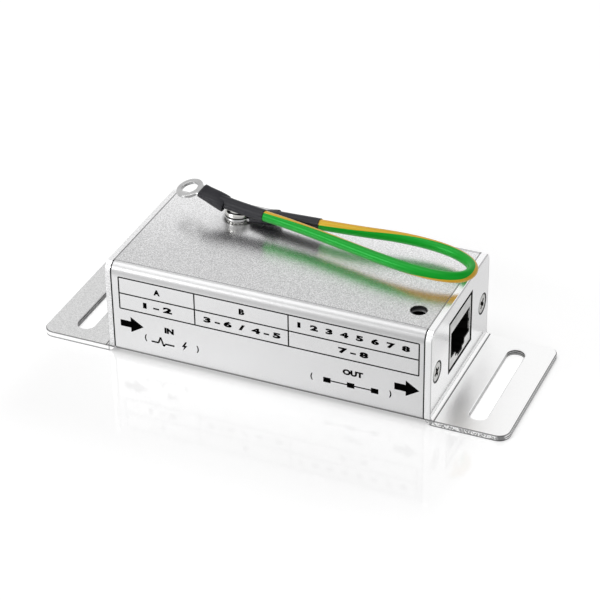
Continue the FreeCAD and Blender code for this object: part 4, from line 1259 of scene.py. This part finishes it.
dress(
    moulded("black_insert", (0.004, 0.004, 0.004), 0.6, gloss=0.04),
    "jack_in_body", "jack_out_body",
)
dress(
    moulded("black_sleeve", (0.008, 0.008, 0.012), 0.42, grain_mm=0.9, depth_mm=0.02, gloss=0.28),
    "fixed_sleeve", "free_sleeve", "fixed_tube", "free_tube",
)
dress(moulded("printing_ink", (0.0, 0.0, 0.0), 0.6, grain_mm=0.25, gloss=0.0), "front_print")
print("plastics dressed")

# %% [markdown]
# ## Board and its parts
# None of this shows from outside, but the part may be opened. The
# board has copper tracks under green solder mask, the ceramic tubes have metal end caps, and the
# chips have bright ends. Each is one CAD node, so the bands follow from the place along X.

# %% Board and its parts
def board_green():
    made = Finish("board_green")
    rows = abs((made.axis("Y") * 0.5) % 1.0 - 0.5)
    wander = made.noise(6.0)
    track = made.between(rows + (wander - 0.5) * 0.3, 0.12, 0.16)
    colour = made.mix(track, (0.03, 0.20, 0.09), (0.012, 0.11, 0.05))
    normal = made.bump(track, 0.03, strength=0.5)
    return made.finish(base_color=colour, roughness=0.3 + wander * 0.1, normal=normal)


def banded(name, middle_tone, end_tone, middle_x, half):
    """A body with a metal cap at each end along X."""
    made = Finish(name)
    away = abs(made.axis("X") - middle_x)
    cap = made.between(away, half - 0.03, half + 0.03)
    grain = made.noise(0.4)
    body = made.mix(grain, middle_tone, tuple(channel * 0.9 for channel in middle_tone))
    colour = made.mix(cap, body, end_tone)
    return made.finish(base_color=colour, metallic=cap, roughness=0.42 - cap * 0.12)


dress(board_green(), "circuit_board")
dress(banded("ceramic_tube", (0.78, 0.77, 0.73), (0.7, 0.7, 0.68), -6.0, 2.88), "gas_discharge_tubes")
dress(banded("chip_black", (0.03, 0.03, 0.03), (0.7, 0.7, 0.7), 3.0, 1.2), "series_resistors")
dress(banded("diode_black", (0.03, 0.03, 0.032), (0.7, 0.7, 0.7), 11.0, 2.2), "suppressor_diodes")
print("board dressed")

# %% [markdown]
# ## Green and yellow insulation
# An earth wire carries two colours, one on each side, and the sides turn slowly as the wire twists.
# The curve's own map runs along the wire in one direction and round it in the other, so a stripe
# is a band of the second with its middle shifted along the first. A faint glow and a green tint in
# the gloss keep the underside from going grey, as the photo's lead keeps its colour there.

# %% Wire insulation
INSULATION_GREEN = (0.0, 0.32, 0.014)
INSULATION_YELLOW = (0.80, 0.41, 0.022)
STRIPE_TURNS = [
    # where the stripe turns more than on average, from and to, and how far
    (0.42, 0.52, -0.092),
    (0.62, 0.75, -0.125),
    (0.25, 0.05, 0.05),
]


def wire_insulation():
    made = Finish("green_yellow_insulation")
    flat = made.node("ShaderNodeTexCoord", output="UV")
    along = made.node("ShaderNodeSeparateXYZ", {}, {0: flat}, output="X")
    around = made.node("ShaderNodeSeparateXYZ", {}, {0: flat}, output="Y")
    middle = along * -0.528 + 0.139
    for low, high, shift in STRIPE_TURNS:
        middle = middle + made.between(along, low, high) * shift
    away = abs((around - middle + 0.5) % 1.0 - 0.5)
    stripe = made.between(away, 0.235, 0.225)
    cloud = made.noise(3.0)
    colour = made.mix(stripe, INSULATION_GREEN, INSULATION_YELLOW)
    roughness = 0.27 + cloud * 0.06
    normal = made.bump(made.noise(2.5), 0.02, strength=0.2)
    return made.finish(
        base_color=colour, roughness=roughness, normal=normal, specular_ior_level=0.75,
        specular_tint=(0.2, 0.9, 0.3, 1), emission_color=colour, emission_strength=0.06,
    )


dress(wire_insulation(), "earth_wire")
print("wire dressed")

# %% [markdown]
# ## Studio
# The photo has a white ground that shows a faint reflection and a soft shadow close to the base.
# The white comes from the floor's and the world's own colour for the camera, not from more light.
# Metal and glass see the same white, which is why glossy and transmission rays are added. The
# floor's glow is weaker near the box. In front of it the glow is lowered as a painted reflection of
# the box, and under the slots and to the right it is raised as painted light that lifts the shade
# there. Glossy rays meet a rougher floor, so metal mirrors it as a soft sheet.

# %% Floor
def white_floor():
    floor = start("plane", size=6, location=(0, 0, -0.02 * MM))
    floor.name = "floor"
    made = Finish("white_floor")
    glossy = made.node("ShaderNodeLightPath", output="Is Glossy Ray")
    ground = made.node("ShaderNodeBsdfPrincipled", {}, {
        "Base Color": (0.80, 0.80, 0.80),
        "Roughness": glossy * 0.8 + 0.07,
        "Specular IOR Level": 0.75,
    })
    x, y = made.axis("X"), made.axis("Y")
    far = made.between(distance(made, x, y), 250, 1200)
    # Painted reflection: the glow is lowered in front of the box. Painted light: it is raised under
    # the slots and to the right, to lift the shade there.
    painted_floor_reflection = made.between(abs(x), 70, 50) * made.band(y, -75, -45, -20, -12)
    painted_light_below_slot = made.between(abs(abs(x) - SLOT_MIDDLE), 4.5, 2.5) * made.between(abs(y), 18, 15)
    right = made.between(x, 20, 70)
    strength = 0.42 + far * 0.35 - painted_floor_reflection * 0.1 + painted_light_below_slot * 0.2 + right * 0.05
    glow = made.node("ShaderNodeEmission", {}, {"Color": WHITE, "Strength": strength})
    both = made.node("ShaderNodeAddShader", {}, {0: ground, 1: glow})
    camera = made.node("ShaderNodeLightPath", output="Is Camera Ray")
    through = made.node("ShaderNodeLightPath", output="Is Transmission Ray")
    card = made.between(x, 75, -55) * 0.5 + 0.5
    seen = camera + (glossy + through) * card
    shown = made.node("ShaderNodeMixShader", {}, {0: seen, 1: ground, 2: both})
    made.node("ShaderNodeOutputMaterial", {}, {"Surface": shown})
    floor.data.materials.append(made.material)


white_floor()
print("floor laid")

# %% [markdown]
# ## Lamps
# Two soft boxes light the object, one overhead and a smaller one at the front left. An area lamp
# with a rectangular face leaves the long even highlights of a soft box on metal. A sun lamp would
# be simpler, but it has no width to speak of, and gives hard shadows and points of light.

# %% Lamps
LAMP_AIM = (0, 0, 0.02)
SOFT_BOXES = [
    # the name, then the place, width and height in metres, and the power in watts
    ("left_box", (-0.9, -1.0, 0.62), 0.55, 0.38, 6.5),
    ("top_box", (-0.5, -0.1, 1.4), 1.1, 0.8, 6.5),
]


def soft_box(name, place, width, height, power):
    lamp = bpy.data.lights.new(name, "AREA")
    lamp.shape = "RECTANGLE"
    lamp.size = width
    lamp.size_y = height
    lamp.energy = power
    holder = bpy.data.objects.new(name, lamp)
    holder.location = place
    way = Vector(LAMP_AIM) - Vector(place)
    holder.rotation_euler = way.to_track_quat("-Z", "Y").to_euler()
    bpy.context.scene.collection.objects.link(holder)


for lamp_box in SOFT_BOXES:
    soft_box(*lamp_box)
print("lamps:", len(bpy.data.lights))

# %% [markdown]
# ## World
# White round the horizon gives the camera its ground and the metal something bright to mirror. It
# turns greyer overhead, so the top doesn't wash out. Matt surfaces get less of it, by kind of ray,
# because a plain white world would fill every shadow.

# %% World
SKY_FOR_DIFFUSE = 0.45
ZENITH_GREY = 0.42


def white_world():
    world = bpy.data.worlds.new("studio")
    bpy.context.scene.world = world
    made = Finish("studio", world)
    place = made.node("ShaderNodeTexCoord", output="Generated")
    height = made.node("ShaderNodeSeparateXYZ", {}, {0: place}, output="Z")
    grey = made.node("ShaderNodeMapRange", {"interpolation_type": "SMOOTHSTEP"}, {
        "Value": height, "From Min": 0.72, "From Max": 0.95, "To Min": 1.0, "To Max": ZENITH_GREY,
    })
    white = made.node("ShaderNodeBackground", {}, {"Color": grey})
    sky = made.node("ShaderNodeBackground", {}, {"Strength": SKY_FOR_DIFFUSE})
    camera, glossy, through = [
        made.node("ShaderNodeLightPath", output=f"Is {kind} Ray")
        for kind in ("Camera", "Glossy", "Transmission")
    ]
    shown = made.node("ShaderNodeMixShader", {}, {0: camera + glossy + through, 1: sky, 2: white})
    made.node("ShaderNodeOutputWorld", {}, {"Surface": shown})


white_world()
bpy.context.scene.view_settings.view_transform = "Standard"
print("studio lit")

# %% [markdown]
# ## The end
# The last line brings the view layer up to date.

# %% The end
bpy.context.view_layer.update()
